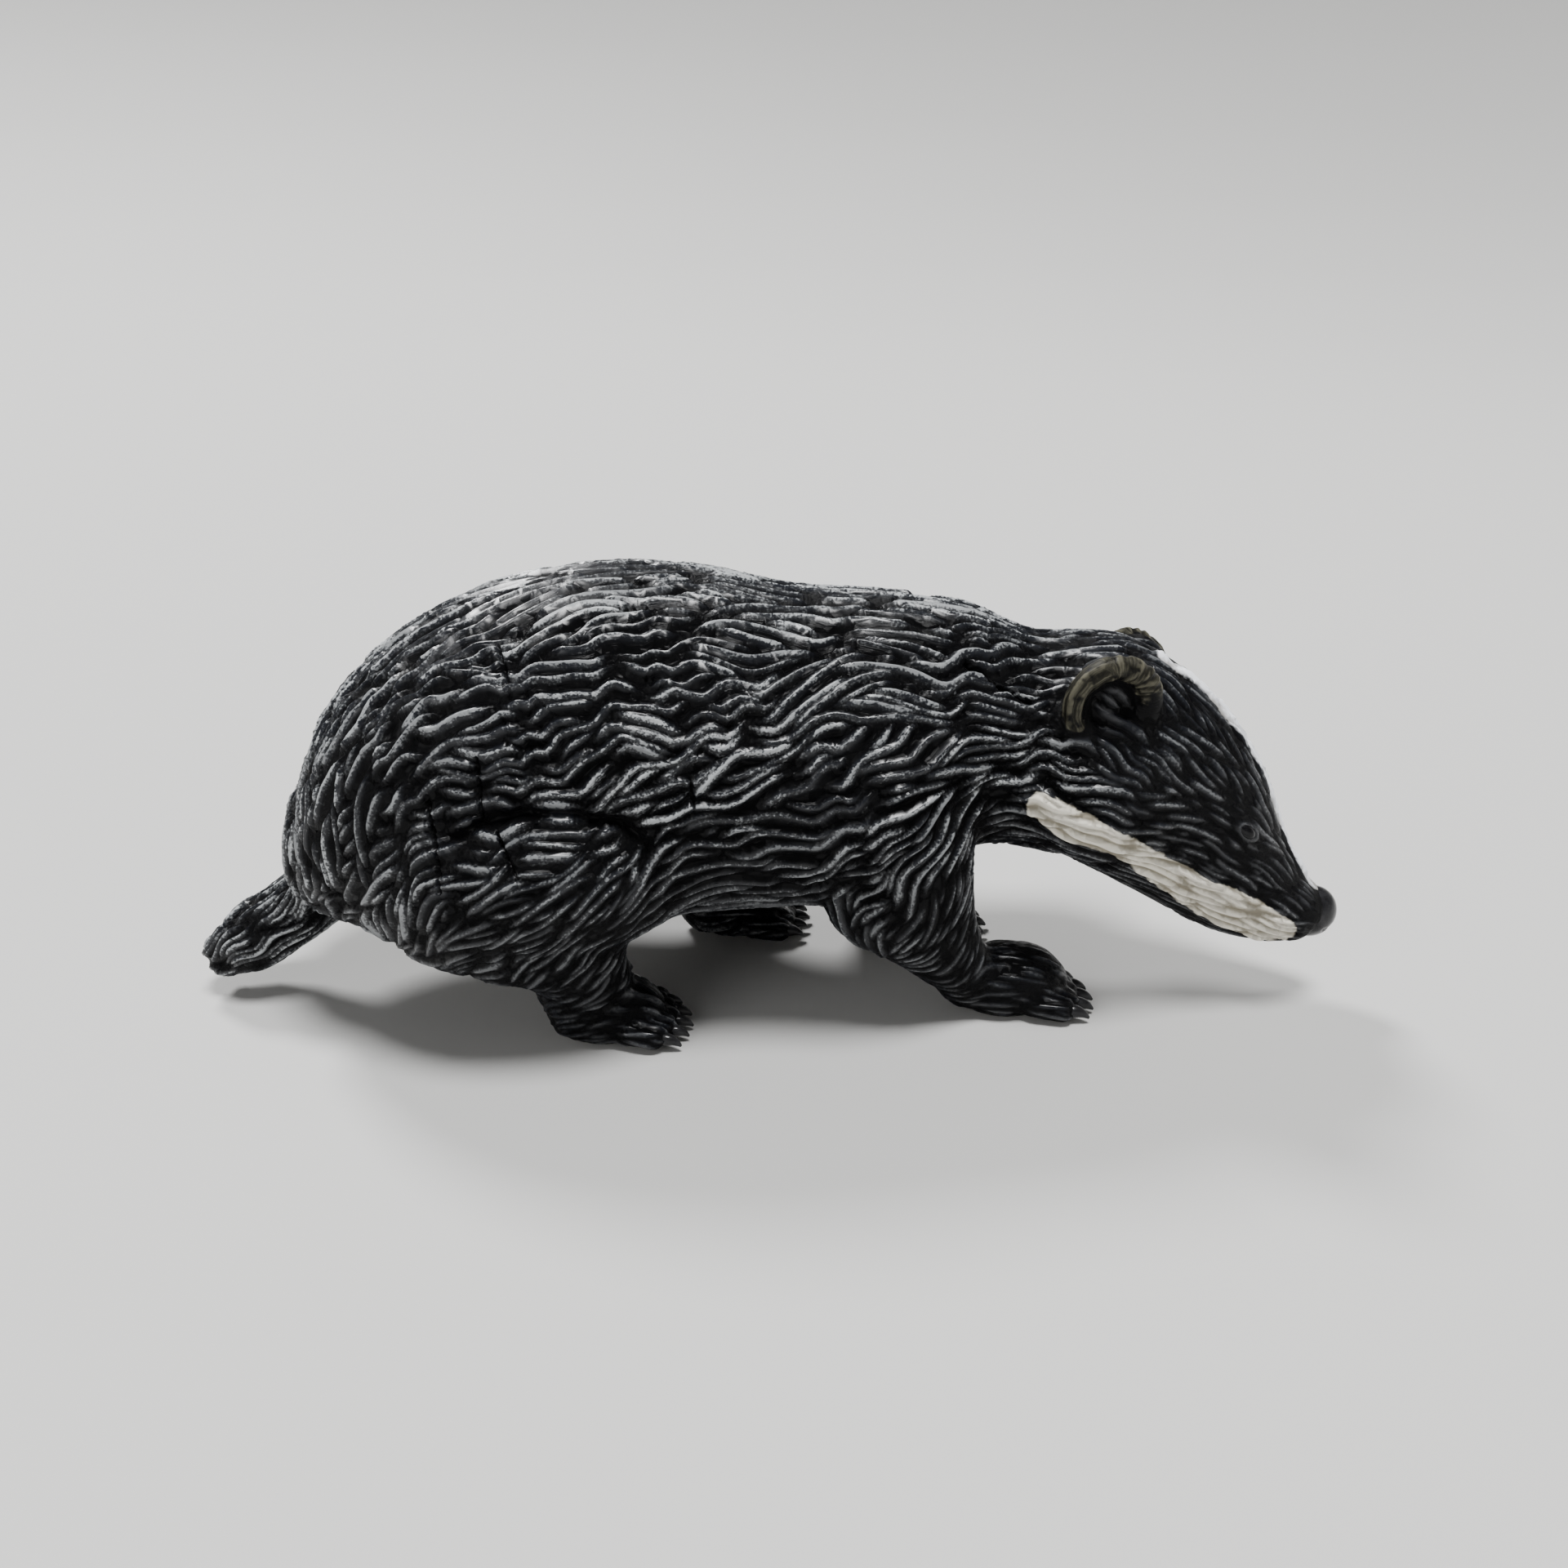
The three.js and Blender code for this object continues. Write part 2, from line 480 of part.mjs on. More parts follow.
// Legs and paws
let rest = body;
for (const [name, region] of Object.entries(REGIONS)) {
  const leg = body.intersect(limbRegion({ ...region, grow: 0 }));
  rest = rest.subtract(limbRegion({ ...region, grow: GAP }));
  const { at, pitch } = ANKLES[name];
  add(name, leg.intersect(halfSpace(at, pitch, false)), COAT);
  add(name.replace('leg', 'paw'), leg.intersect(halfSpace(at, pitch, true)), COAT);
}

// Torso, neck and tail
add('torso', rest.intersect(behindNeckCut).intersect(rumpSide), COAT);
add('tail', rest.intersect(tailSide), COAT);
add('neck', rest.intersect(aheadOfNeckCut).intersect(behindHeadCut), COAT);

// Head, with its stripes let into it, and its nose and eyes set in sockets
let head = rest.intersect(aheadOfHeadCut).subtract(noseBall(GAP));
const stripes = {
  cheek_stripe_right: (grow) => cheekStripePrism(-1, grow),
  cheek_stripe_left: (grow) => cheekStripePrism(1, grow),
  face_stripe: blazePrism,
};
for (const [name, prism] of Object.entries(stripes)) {
  head = head.subtract(prism(GAP).subtract(deepCore));
  const plate = raised.intersect(prism(0)).intersect(aheadOfHeadCut);
  add(name, plate.subtract(core).subtract(noseBall(GAP)), WHITE);
}
for (const side of [-1, 1]) head = head.subtract(eyeBall(side, GAP));
add('head', head, FACE);
add('nose', nose, GLOSS);
for (const [word, side] of [['right', -1], ['left', 1]]) {
  add(`eye_${word}`, eyeBall(side, 0), GLOSS);
}

for (const [name, place] of Object.entries(EARS)) {
  add(name, ear(place).subtract(grown), EAR_RIM);
}

export default group;
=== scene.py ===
"""The looks of a moulded and painted toy badger, on its CAD frame.

The whole figure is one skin of painted plastic: its coat is moulded as wavy tufts, brushed with
grey on their crests. Eyes, nose and claws are pieces of their own. Sizes in the tables are in
millimetres, in the drawing's own frame, which lies DRAWING_SHIFT behind the figure's.
"""
import math
from itertools import product

import bpy
import numpy as np
from mathutils import Matrix, Vector
from mathutils.kdtree import KDTree


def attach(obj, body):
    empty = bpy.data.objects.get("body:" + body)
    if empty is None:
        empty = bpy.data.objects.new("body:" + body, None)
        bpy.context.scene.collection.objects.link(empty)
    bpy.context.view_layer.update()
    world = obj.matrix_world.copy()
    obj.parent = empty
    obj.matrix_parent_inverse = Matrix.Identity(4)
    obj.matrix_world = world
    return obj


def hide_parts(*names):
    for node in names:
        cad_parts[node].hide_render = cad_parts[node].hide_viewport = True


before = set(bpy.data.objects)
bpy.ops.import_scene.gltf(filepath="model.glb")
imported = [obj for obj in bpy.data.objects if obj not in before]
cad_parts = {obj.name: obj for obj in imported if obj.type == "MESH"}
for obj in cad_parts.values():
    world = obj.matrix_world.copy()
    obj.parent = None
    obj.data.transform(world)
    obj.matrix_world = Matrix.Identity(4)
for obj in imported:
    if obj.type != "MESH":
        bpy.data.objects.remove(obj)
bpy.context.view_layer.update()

bl_info = {
    "name": "Painted toy badger",
    "version": (1, 0, 0),
    "blender": (4, 5, 0),
    "location": "3D View > Sidebar > Badger",
    "description": "Moulded coat, paint, eyes, nose and claws of a toy badger",
    "category": "Object",
}

MM = 0.001
DRAWING_SHIFT = Vector((1.8, 0, 0))
RIGHT, LEFT = -1, 1

# The forms under the coat follow the solids' own rings, swellings and paws.
# Trunk rings from rump to muzzle: x, y, z, pitch, yaw, height above and below the centre, and
# half-width
TRUNK = np.array([
    (-36.1, 0, 12.6, 0, 0, 4.9, 4.6, 5.8),
    (-33.6, 0, 14.5, 0, 0, 9, 7, 9.2),
    (-29, 0, 17, 0, 0, 11.1, 10.8, 12),
    (-22, 0, 19, 0, 0, 12.9, 13.3, 13.3),
    (-14, 0, 20, 0, 0, 13.5, 12.6, 13.5),
    (-6.5, 0, 20, 0, 0, 13.3, 12.4, 13),
    (1, 0, 19.9, 0, 0, 11.8, 12, 12.2),
    (7.4, 0, 20, -2, 0, 11.2, 11.5, 11.3),
    (12.6, -0.1, 20.5, -7, -2, 9.8, 9.6, 9.7),
    (16.5, -0.3, 20.4, -14, -5, 8.1, 8.6, 8.6),
    (21, -1, 19.2, -27, -9, 9.8, 8, 8.3),
    (25.7, -2, 16.6, -36, -12, 9.4, 6.9, 7.3),
    (30.6, -3.1, 13, -38, -12, 7.5, 5.9, 5.6),
    (34.8, -4, 9.7, -38, -12, 4.6, 5, 4.2),
    (37.8, -4.7, 7.4, -38, -12, 3.1, 3.3, 3.2),
    (39.6, -5.1, 6.6, -32, -12, 2.4, 2.1, 2.4),
], float)
EYE_RING = 12
RUMP_CAP = 1.4
MUZZLE_CAP = 0.7
SQUARENESS = 2.15
# Swellings: middle, half-sizes, pitch, height, steepness of the edge
SWELLINGS = [
    ((-18.9, -10.5, 12), (10.2, 6.5, 6.9), 8, 3.3, 2.4),
    ((-14.7, 10.5, 12), (10.2, 6.5, 6.9), 12, 3.45, 2.4),
    ((7.2, -10.5, 15), (6.2, 5, 8.6), 0, 1.7, 1.4),
    ((5.4, 10.5, 15), (6.2, 5, 8.6), 0, 1.7, 1.4),
    ((22.6, -8.4, 17.4), (5.2, 3.4, 4), -30, 1.3, 1.4),
    ((24.6, 5.4, 17.2), (5.2, 3.4, 4), -30, 1.3, 1.4),
]
# Limbs: flat rings from the top down, x, y, z, half-length, half-width
LIMBS = {
    "fore right": [(7.5, -7.4, 17, 5.9, 4.8), (7.7, -7.4, 12, 5.9, 4.6), (8.6, -7, 8, 5.5, 4),
                   (11.3, -6.4, 5, 4, 3.3), (13.4, -5.9, 2.8, 3.3, 2.9), (14.2, -5.7, 1, 2.4, 2.3)],
    "fore left": [(5.6, 7.4, 17, 5.9, 4.8), (5.4, 7.4, 12, 5.4, 4.6), (5.6, 7.2, 8, 4.5, 3.9),
                  (6.8, 6.9, 5, 3.5, 3.3), (7.8, 6.6, 2.8, 3.1, 2.9), (8.3, 6.5, 1, 2.4, 2.3)],
    "hind right": [(-20.5, -9, 13, 8.5, 4.8), (-19.4, -9.1, 9.4, 8, 4.5),
                   (-18.3, -8.9, 6.8, 6.5, 4), (-15.4, -8.4, 5, 4.1, 3.4),
                   (-15.3, -8.2, 2.8, 3.2, 2.9), (-15, -8.1, 1, 2.4, 2.3)],
    "hind left": [(-13.6, 8.7, 13, 8, 4.6), (-9.4, 8.9, 8.6, 5.4, 4.3),
                  (-6.4, 8.6, 5.2, 3.8, 3.3), (-5.5, 8.2, 2.8, 3.2, 2.9),
                  (-5, 8.1, 1, 2.4, 2.3)],
}
LIMB_CAPS = (1.5, 0.6)
# Paws: middle of the pad, half-sizes, degrees that the toes turn out
PAWS = {
    "fore right": ((16.8, -5.6, 2.6), (4.7, 3.2, 3.1), -4),
    "fore left": ((10.6, 6.3, 2.5), (4.7, 3.2, 3), 4),
    "hind right": ((-13.7, -7.8, 2.3), (4.6, 3.3, 2.8), -5),
    "hind left": ((-3.9, 8, 2.3), (4.6, 3.3, 2.8), 5),
}
TOES = 5
TOE_RADIUS = 1.15
TOE_REACH = 3.0
TOE_SHORTENING = 0.28
TOE_FAN = 9
TOE_DROOP = 8
TOE_FROM = 0.35
TOE_INSET = 0.95
TOE_HEIGHT = 1.65
SOLE_SINK = 0.4
# Tail: x, z, half-height, half-width
TAIL = [(-33.4, 10.1, 2.8, 3), (-37.6, 6.9, 2.8, 3.4), (-41.3, 4.4, 2.8, 3.3), (-43.6, 3, 2, 2.2)]
TAIL_SLOPE = 36
TAIL_CAPS = (1, 1.5)
# Ears: middle, side, turn, lean; the rim runs round an arch and gets thicker towards the front
EARS = [((22.4, -8, 25.3), RIGHT, 8, 10), ((26.9, 4.4, 23.1), LEFT, -20, 18)]
EAR_ARCH = (2.8, 2.9)
EAR_RIM_ENDS = (-14, 238)
EAR_RIM_RADII = (1.0, 0.6)
EAR_BACK_BEHIND = 1.25
EAR_BACK = (3, 1.5, 3.2)
EAR_REACH = 7  # how far from its middle an ear's hair reaches
RIM_STEPS = 40
RIM_STEP = 0.32  # distance between two steps along a rim
RIM_FRONT = (24, 12)  # steps between which the hair turns from along the rim to across it
RIM_PAINT_PAST = 0.09  # how far the paint passes the rim's edge
RIM_BARE = (0.25, 7)  # how much the paint draws back at the front end, and over how many steps
RIM_RELIEF = 0.19
RIM_EDGE = (-0.1, 0.4)
RIM_HAIRS = 1.9  # how closely the hairs across the rim follow each other
RIM_RINGS = 5  # and those along it
RIM_WIND = 0.12
RIM_RAGGED = (9, 3.0, 3.4)  # seed, length and amount of their unevenness
RIM_STRANDS = (31.0, 53.0)  # numbers that keep the paint of the two kinds apart
# From here to BLAZE in the head's own axes: along the muzzle, left, up, from the ring at the eyes
EYE = (1.2, 4.2, 4)
EYE_HALF = (0.85, 0.55, 0.48)
EYE_OUT = 0.1  # how far an eye stands out of its socket
LID_RADIUS = 0.66
LID_WIDTH = 0.22
LID_HEIGHT = 0.16
LID_SHAPE = (0.6, 1, 1.35)  # stretch of space in which the lids are a ring
# grey painted on the lids as light, stronger on their upper side
LID_PAINTED_LIGHT = 0.1
LID_CREST = 0.8
LID_LIT = (0.3, 0.4)  # how far below and above the eye's middle the lids' light sets in
NOSE = (11.1, 0, 1.3)
NOSE_HALF = (1.9, 1.9, 2.05)
CHEEK_STRIPE = [(-12, -2.9, 1.2), (-9.5, -2.6, 1.4), (-7, -2.0, 1.25), (-3.4, -1.8, 1.2),
                (1, -1.95, 1.5), (5.5, -1.4, 1.8), (9.4, -0.9, 1.5)]
BLAZE = [(-11, 0.1, 0.8), (-6, 0.2, 1.1), (0, 0.2, 1.05), (5, 0.1, 0.95), (9.4, 0, 0.8)]
STRIPE_STEPS = 25
STRIPE_COAT_DEPTH = 0.52
STRIPE_EDGE = (-0.25, 0.15)
STRIPE_END = (11, 8)  # the stripes' height sinks away between these places on the muzzle
HEAD_FROM = -16
CHEEK_FROM = 0.6  # a cheek stripe starts this far from the head's middle
OUTSIDE = -3.0  # stands for a marking that is far away

# How the moulded hair lies, seen from the side: x, z, and degrees that it rises towards the head
COAT_FLOW = [
    # along the back
    (-27, 28, 40), (-22, 31.5, 38), (-18.5, 33.5, 25), (-13, 34.5, 8), (-6.4, 34, 0),
    (-2.5, 34.4, -5), (1.9, 33.2, -3), (7.6, 31.5, 12), (13.3, 30.9, -5), (17.8, 28.8, 12),
    # upper flank
    (-16.3, 30, 15), (-23.8, 27.6, 5), (-25.6, 26.3, 38), (-21.3, 26.7, -25), (-18.9, 26.2, 0),
    (-15.6, 28.2, 45), (-13, 28.4, 20), (-10.2, 28.3, -15), (-7.6, 29.4, 30), (-4.3, 32.1, 12),
    (-2.7, 29.3, 8), (1.1, 30.8, -8), (4.4, 30.5, 22), (9.2, 29.8, -5),
    # rump
    (-30.5, 24.1, 62), (-33.6, 18, 75), (-33.4, 14.2, 70), (-28.6, 21.7, 60), (-25.9, 23, 15),
    # middle of the flank
    (-22.7, 24.4, 15), (-20.9, 23.4, -20), (-17.6, 23.3, 10), (-15.3, 24.7, 30),
    (-13.3, 22.8, 28), (-8.8, 24.6, 5), (-5.5, 25, -5), (-4.5, 21.1, 35), (-3.7, 25.2, 8),
    (-0.6, 26.5, 28), (4.2, 27.3, 0), (8.2, 27, 8), (11.9, 27.1, 15), (15.3, 25.5, 25),
    (0.5, 23.9, 10), (3.9, 23.4, 40), (-2.8, 22.5, 38), (-22.1, 21.1, 0), (-18.3, 19, 20),
    (-14.5, 18.9, -5), (-5, 15, 8), (-6, 10, 4),
    # haunch, thigh and knee
    (-26.3, 18.7, 45), (-29.1, 16.8, 55), (-23.5, 17.9, 18), (-15.6, 17.4, 25), (-21.2, 15.9, 5),
    (-20.1, 13.6, 42), (-24.7, 12.7, 45), (-28.6, 10.5, 50), (-22.7, 10.1, 50), (-17.1, 10.5, 60),
    (-13.6, 12.4, 60), (-11.2, 16.1, 60), (-11.5, 9.3, 70), (-15, 4.5, 40),
    # shoulder and foreleg
    (2.3, 20.5, 5), (4.6, 20.9, 40), (6.6, 22.3, 50), (8.8, 23, 12), (10.6, 22.3, -10),
    (1.7, 16.1, 25), (5.1, 17.2, 25), (7.6, 18.7, 45), (9.5, 20.3, 35), (9.9, 17.1, 60),
    (7.7, 14.4, 55), (4, 12.2, 48), (8.8, 10, 75), (11, 12, 85), (11.1, 5.6, 75),
    # ruff and neck
    (14.4, 21.4, 50), (15.4, 23.3, 35), (17.6, 24.5, -5), (19.5, 23.2, -32), (16.6, 21.8, 5),
    (19, 21.3, -12), (16.8, 20.1, -5), (14.7, 18.9, 40), (13.7, 15.7, 80), (21.7, 28.9, 15),
    # head
    (22, 25.3, -40), (22.6, 22.2, -50), (28.1, 21.3, -38), (24.5, 19.3, -25), (24.5, 17.4, -20),
    (29.1, 17.9, -35), (18.6, 17.7, -35), (32.9, 22.1, -50), (34.9, 10.7, -32), (35.7, 7.2, -20),
    # paws and tail
    (18, 3, -8), (10, 2.5, -5), (-12, 2, -5), (-4, 2, 0), (-43, 4, 36), (-38, 7.5, 42),
]
FLOW_REACH = 2.1
PICTURE_UP = (0.389, 0.921)  # inwards and upwards: the table is read on a plane that leans back
SIDE_TURN = 3.5  # half-width of the ridge of the back, where the two sides' directions meet
SWAY = 29  # degrees that a tuft of the flank winds from side to side
SWAY_LENGTH = 7.0
SWAY_DEPTH = 0.55  # depth of the coat that winds in full
SWAY_SHARES = (0.1, 1.1)  # of the sway in the flattest and the deepest coat
SWAY_WAVES = (1.9, 5, 15)  # how much, with which seed and over what length the winding shifts
STROKE_STEP = 0.3
STROKE_HALF = 0.6  # half-width of a tuft, as a share of the distance between tufts
START_REACH = 0.74  # how near to a tuft the next one may start
STOP_REACH = 0.3  # and how near it may come before it ends
CREST_ROUNDNESS = 1.05  # 1 is a tent, 2 is a round back
CREST_LEAN = 0.3  # how far up from a tuft's middle its crest lies, as a share of its half-width
CREST_TURN = 4  # half-width of the ridge of the back, where the lean changes sides
STAMP_AHEAD = 0.7  # how far ahead a step of a tuft is stamped, in steps
STAMP_AWAY = 1.3  # and how far away in all, as a square share of the widest half-width
TUFT_WIDTHS = (0.72, 1.25)  # shares of its zone's width, length and height that a tuft may have
TUFT_LENGTHS = (0.6, 1.25)
TUFT_HEIGHTS = (0.74, 1.0)
TUFT_TONE = (0.45, 1.1)  # and of its zone's grey
TUFT_SPREAD = 0.09  # how far tufts stray from the field
TUFT_STEPS = 4  # steps of the shortest tuft
TAPER = (0.35, 1.6)  # height at a tuft's end, and how far from it the tuft is full
# No tuft runs this near to the sole, an ear's rim, the nose and an eye, or this deep in a fold
BARE = {"sole": 0.3, "rim": 0.4, "nose": 2.2, "eye": 0.9, "fold": 0.3}
# Distances over which the coat sets in
CALM = {"eye": (0.6, 1.5), "nose": (2.0, 3.2), "rim": (0.2, 0.9)}
EAR_UNBRUSHED = (2.6, 3.6)
FOLD_UNBRUSHED = (-0.45, -0.15)
RIM_HAIR_FROM = -0.2  # from here inwards the paint's hairs follow the rim
TUFTS_APART = 7.31  # step between tufts in the paint's noise
HAIR_SIZE = (0.3, 4.2, 1.0)  # how closely paint hairs lie along and across a tuft, and by tuft
# Black in the valleys (painted shade) and on the crests (painted sky reflection), and what white is
# multiplied by in the valleys (painted shade)
BLACK_VALLEY_SHADE = (0.0022, 0.0022, 0.0026)
BLACK_CREST_SHEEN = (0.0085, 0.0098, 0.0135)
WHITE_GROOVE_SHADE = (0.4, 0.38, 0.34)
# Zones of the coat: x, z, reach, a tuft's width, depth and length, and how much grey is brushed on,
# less low down partly as painted shade
COAT_ZONES = {
    "back": (-6, 35, 9, 1.1, 0.45, 12, 0.55),
    "upper flank": (-10, 28, 8, 1.2, 0.6, 14, 0.92),
    "flank": (-3, 23, 8, 1.2, 0.6, 14, 0.95),
    "shoulder top": (8, 28, 6, 1.15, 0.56, 12, 0.72),
    "rump": (-31, 21, 5, 1.0, 0.5, 6, 0.95),
    "haunch": (-24, 17, 5, 0.95, 0.42, 6, 0.4),
    "thigh": (-20, 11, 4, 0.8, 0.3, 5, 0.1),
    "knee": (-13, 14.3, 3.2, 0.6, 0.1, 3.5, 0.42),
    "hock": (-14, 4, 3, 0.75, 0.16, 4, 0.06),
    "belly": (-3.5, 12.5, 5, 1.0, 0.4, 8, 0.0),
    "upper arm": (6, 16, 4, 0.9, 0.42, 7, 0.38),
    "forearm": (11, 8, 4, 0.75, 0.22, 5, 0.3),
    "fore paw": (17, 3, 3, 0.75, 0.14, 4, 0.06),
    "ruff": (17, 22.5, 3, 1.0, 0.58, 8, 0.85),
    "nape": (21, 29, 3, 0.95, 0.36, 7, 0.5),
    "cheek": (24, 18, 3.5, 0.85, 0.34, 6.5, 0.3),
    "throat": (17, 13, 3, 0.85, 0.3, 5, 0.3),
    "crown": (28, 23, 3, 0.75, 0.26, 6, 0.25),
    "face": (33, 12, 5, 0.7, 0.18, 5.5, 0.18),
    "tail": (-41, 6, 4, 0.95, 0.42, 8, 0.8),
    "far paws": (6, 2, 4, 0.75, 0.14, 4, 0.06),
}
# Deep folds on the right side: points x, z, half-width and depth
FOLDS = {
    "round the thigh": ([(-25.7, 17.7), (-23.4, 18.7), (-20.3, 19.9), (-18, 20.4),
                         (-14.9, 20.1), (-11.6, 19.3), (-9.8, 17.7), (-9.3, 14.9)], 0.55, 0.55),
    "before the knee": ([(-10, 17), (-9.2, 14.9), (-9.7, 12.8), (-10.8, 10.4), (-12, 9.1)],
                        0.8, 0.3),
    "behind the elbow": ([(0.9, 11.1), (1.5, 12.9), (1.9, 15.4)], 0.7, 0.4),
}
# Narrow splits across the tufts of the flank: points x, z
SPLITS = [
    [(-19.7, 30.4), (-19, 28.7)], [(-21.1, 24), (-20.9, 19.8)], [(-19.9, 19.2), (-18.6, 16.5)],
    [(-6.9, 22.3), (-6.7, 20.2)], [(-24.6, 21.3), (-23.9, 15.2)],
    [(12.5, 28.4), (14.7, 26.7), (17, 25.4)],
]
SPLIT_HALF = 0.17
SPLIT_DEPTH = 0.5
SPLIT_SHARE = 0.6  # how much lower a tuft is in a split
FOLD_SIDE = (1, 4)  # distance right of the middle over which folds and splits set in
FOLD_TAPER = 0.6  # how fast a fold deepens from its ends
# Smoothing of the fused skin: weight and rounds, at first without the ears and paws
ROUGH_SMOOTH = (0.6, 26)
FINE_SMOOTH = (0.5, 3)
EAR_KEPT = -1.2  # from this depth in a rim
PAWS_KEPT = 3.6  # up to this height
FLESH = ["torso", "neck", "head", "tail", "cheek_stripe_right", "cheek_stripe_left",
         "face_stripe", "ear_right", "ear_left"] + [
             f"{end}_{part}_{side}" for end in ("fore", "hind") for part in ("leg", "paw")
             for side in ("right", "left")]
# Nostrils in the nose's own axes: along, out, up, squash, depth, and inner and outer radius
NOSTRILS = [(1.75, 0.85, 0.2, 1.25, 0.6, 0.12, 0.5), (1.45, 1.2, -0.1, 1.6, 0.25, 0.1, 0.5)]
NOSE_GROOVE = (0.14, 0.16)  # depth and width of the groove under the nose
CLAW_INPUTS = [("Length", 1.7 * MM, "DISTANCE"), ("Root radius", 0.46 * MM, "DISTANCE"),
               ("Curl", 0.34, "FACTOR"), ("Variation", 0.12, "FACTOR")]
CLAW_SET = (0.62, 0.1)  # where a claw starts: share of the toe's radius ahead, and height
CAMERA_AT = (-0.00394, -0.10945, 0.0627)
CAMERA_DOWN = 22.9
CAMERA_YAW = -3.0
SENSOR_WIDTH = 36
FOCAL_LENGTH = 36
LIGHT_AIM = Vector((0, 0, 0.015))
# Soft lights: place and diameter in metres, and power as a multiple of the key power
LIGHTS = {
    "key light": ((0.12, -0.22, 1.15), 0.4, 6.2),
    "back light": ((-0.4, 0.62, 0.85), 0.28, 4.5),
    "fill light": ((-0.7, -0.7, 0.4), 0.6, 0.8),
}
SWEEP_FLAT = 450  # radius of the level floor, before it sweeps up into the wall
SWEEP_BEND = 1500
SWEEP_WALL = 200


def row_at(rows, u):
    """Catmull-Rom row at place u along rows."""
    rows = np.asarray(rows, float)
    last = len(rows) - 1
    i = min(int(u), last - 1)
    a, b, c, d = (rows[max(0, min(last, k))] for k in (i - 1, i, i + 1, i + 2))
    t = u - i
    slope, after = (c - a) / 2, (d - b) / 2
    curve = 3 * (c - b) - 2 * slope - after
    return b + t * (slope + t * (curve + t * (slope + after - 2 * (c - b))))


def axes_of(pitch, yaw):
    """Axes of a ring as columns: ahead, left, up."""
    return np.array(Matrix.Rotation(math.radians(yaw), 3, "Z")
                    @ Matrix.Rotation(math.radians(-pitch), 3, "Y"))


HEAD_AXES = axes_of(TRUNK[EYE_RING, 3], TRUNK[EYE_RING, 4])
HEAD_AT = TRUNK[EYE_RING, :3]


def to_head(points):
    """Points of the drawing in the head's own axes."""
    return (points - HEAD_AT) @ HEAD_AXES


def from_head(points):
    return np.asarray(points, float) @ HEAD_AXES.T + HEAD_AT


def closed_form(rows):
    """Points and faces of a closed form from rows of points, whose first and last row are poles."""
    count = len(rows[1])
    points = [rows[0].mean(0)]
    for row in rows[1:-1]:
        points.extend(row)
    points.append(rows[-1].mean(0))
    end = len(points) - 1
    faces = []
    for k in range(count):
        n = (k + 1) % count
        faces.append((0, 1 + k, 1 + n))
        faces.append((end, end - count + n, end - count + k))
    for r in range(len(rows) - 3):
        a = 1 + r * count
        for k in range(count):
            n = (k + 1) % count
            faces.append((a + k, a + count + k, a + count + n, a + n))
    return np.array(points), faces


def round_ring(sides):
    """Cosines and sines round a ring."""
    angle = np.linspace(0, 2 * math.pi, sides, endpoint=False)
    return np.cos(angle), np.sin(angle)


def cap_at(row, stacks, caps, cap_rows):
    """Place along, share of girth, and distance past the end, with rounded ends."""
    last = stacks - cap_rows
    if row < cap_rows:
        angle = row / cap_rows * math.pi / 2
        return 0.0, math.sin(angle), -caps[0] * math.cos(angle)
    if row > last:
        angle = (stacks - row) / cap_rows * math.pi / 2
        return 1.0, math.sin(angle), caps[1] * math.cos(angle)
    return (row - cap_rows) / (last - cap_rows), 1.0, 0.0


def trunk_form(sides=150, stacks=190, cap_rows=9):
    steps = np.linalg.norm(np.diff(TRUNK[:, :3], axis=0), axis=1)
    run = np.concatenate([[0], np.cumsum(steps)])
    rise, across = round_ring(sides)
    rows = []
    for row in range(stacks + 1):
        share, girth, past = cap_at(row, stacks, (RUMP_CAP, MUZZLE_CAP), cap_rows)
        ring = row_at(TRUNK, np.interp(share * run[-1], run, np.arange(len(run))))
        axes = axes_of(ring[3], ring[4])
        centre = ring[:3] + axes[:, 0] * past
        direction = across[:, None] * axes[:, 1] + rise[:, None] * axes[:, 2]
        height = np.where(rise > 0, ring[5], ring[6])
        reach = (np.abs(rise / height) ** SQUARENESS
                 + np.abs(across / ring[7]) ** SQUARENESS) ** (-1 / SQUARENESS)
        skin = centre + direction * reach[:, None]
        for at, half, pitch, lift, edge in SWELLINGS:
            turn = np.array(Matrix.Rotation(math.radians(pitch), 3, "Y"))
            q = (skin - at) @ turn.T / half
            reach = reach + lift * np.exp(-(np.sum(q * q, axis=1) ** edge))
        rows.append(centre + direction * (reach * girth)[:, None])
    return closed_form(rows)


def limb_form(rings, sides=48, stacks=40, cap_rows=5):
    ahead, right = round_ring(sides)
    rows = []
    for row in range(stacks + 1):
        share, girth, past = cap_at(row, stacks, LIMB_CAPS, cap_rows)
        x, y, z, length, width = row_at(rings, share * (len(rings) - 1))
        rows.append(np.stack([x + length * girth * ahead, y - width * girth * right,
                              np.full(sides, z - past)], 1))
    return closed_form(rows)


def ellipsoid_form(half, turn=None, at=(0, 0, 0), sides=40, stacks=24):
    ahead, left = round_ring(sides)
    rows = []
    for row in range(stacks + 1):
        polar = math.pi * row / stacks
        rows.append(np.stack([math.sin(polar) * ahead, math.sin(polar) * left,
                              np.full(sides, math.cos(polar))], 1) * half)
    points, faces = closed_form(rows)
    if turn is not None:
        points = points @ np.asarray(turn).T
    return points + at, faces


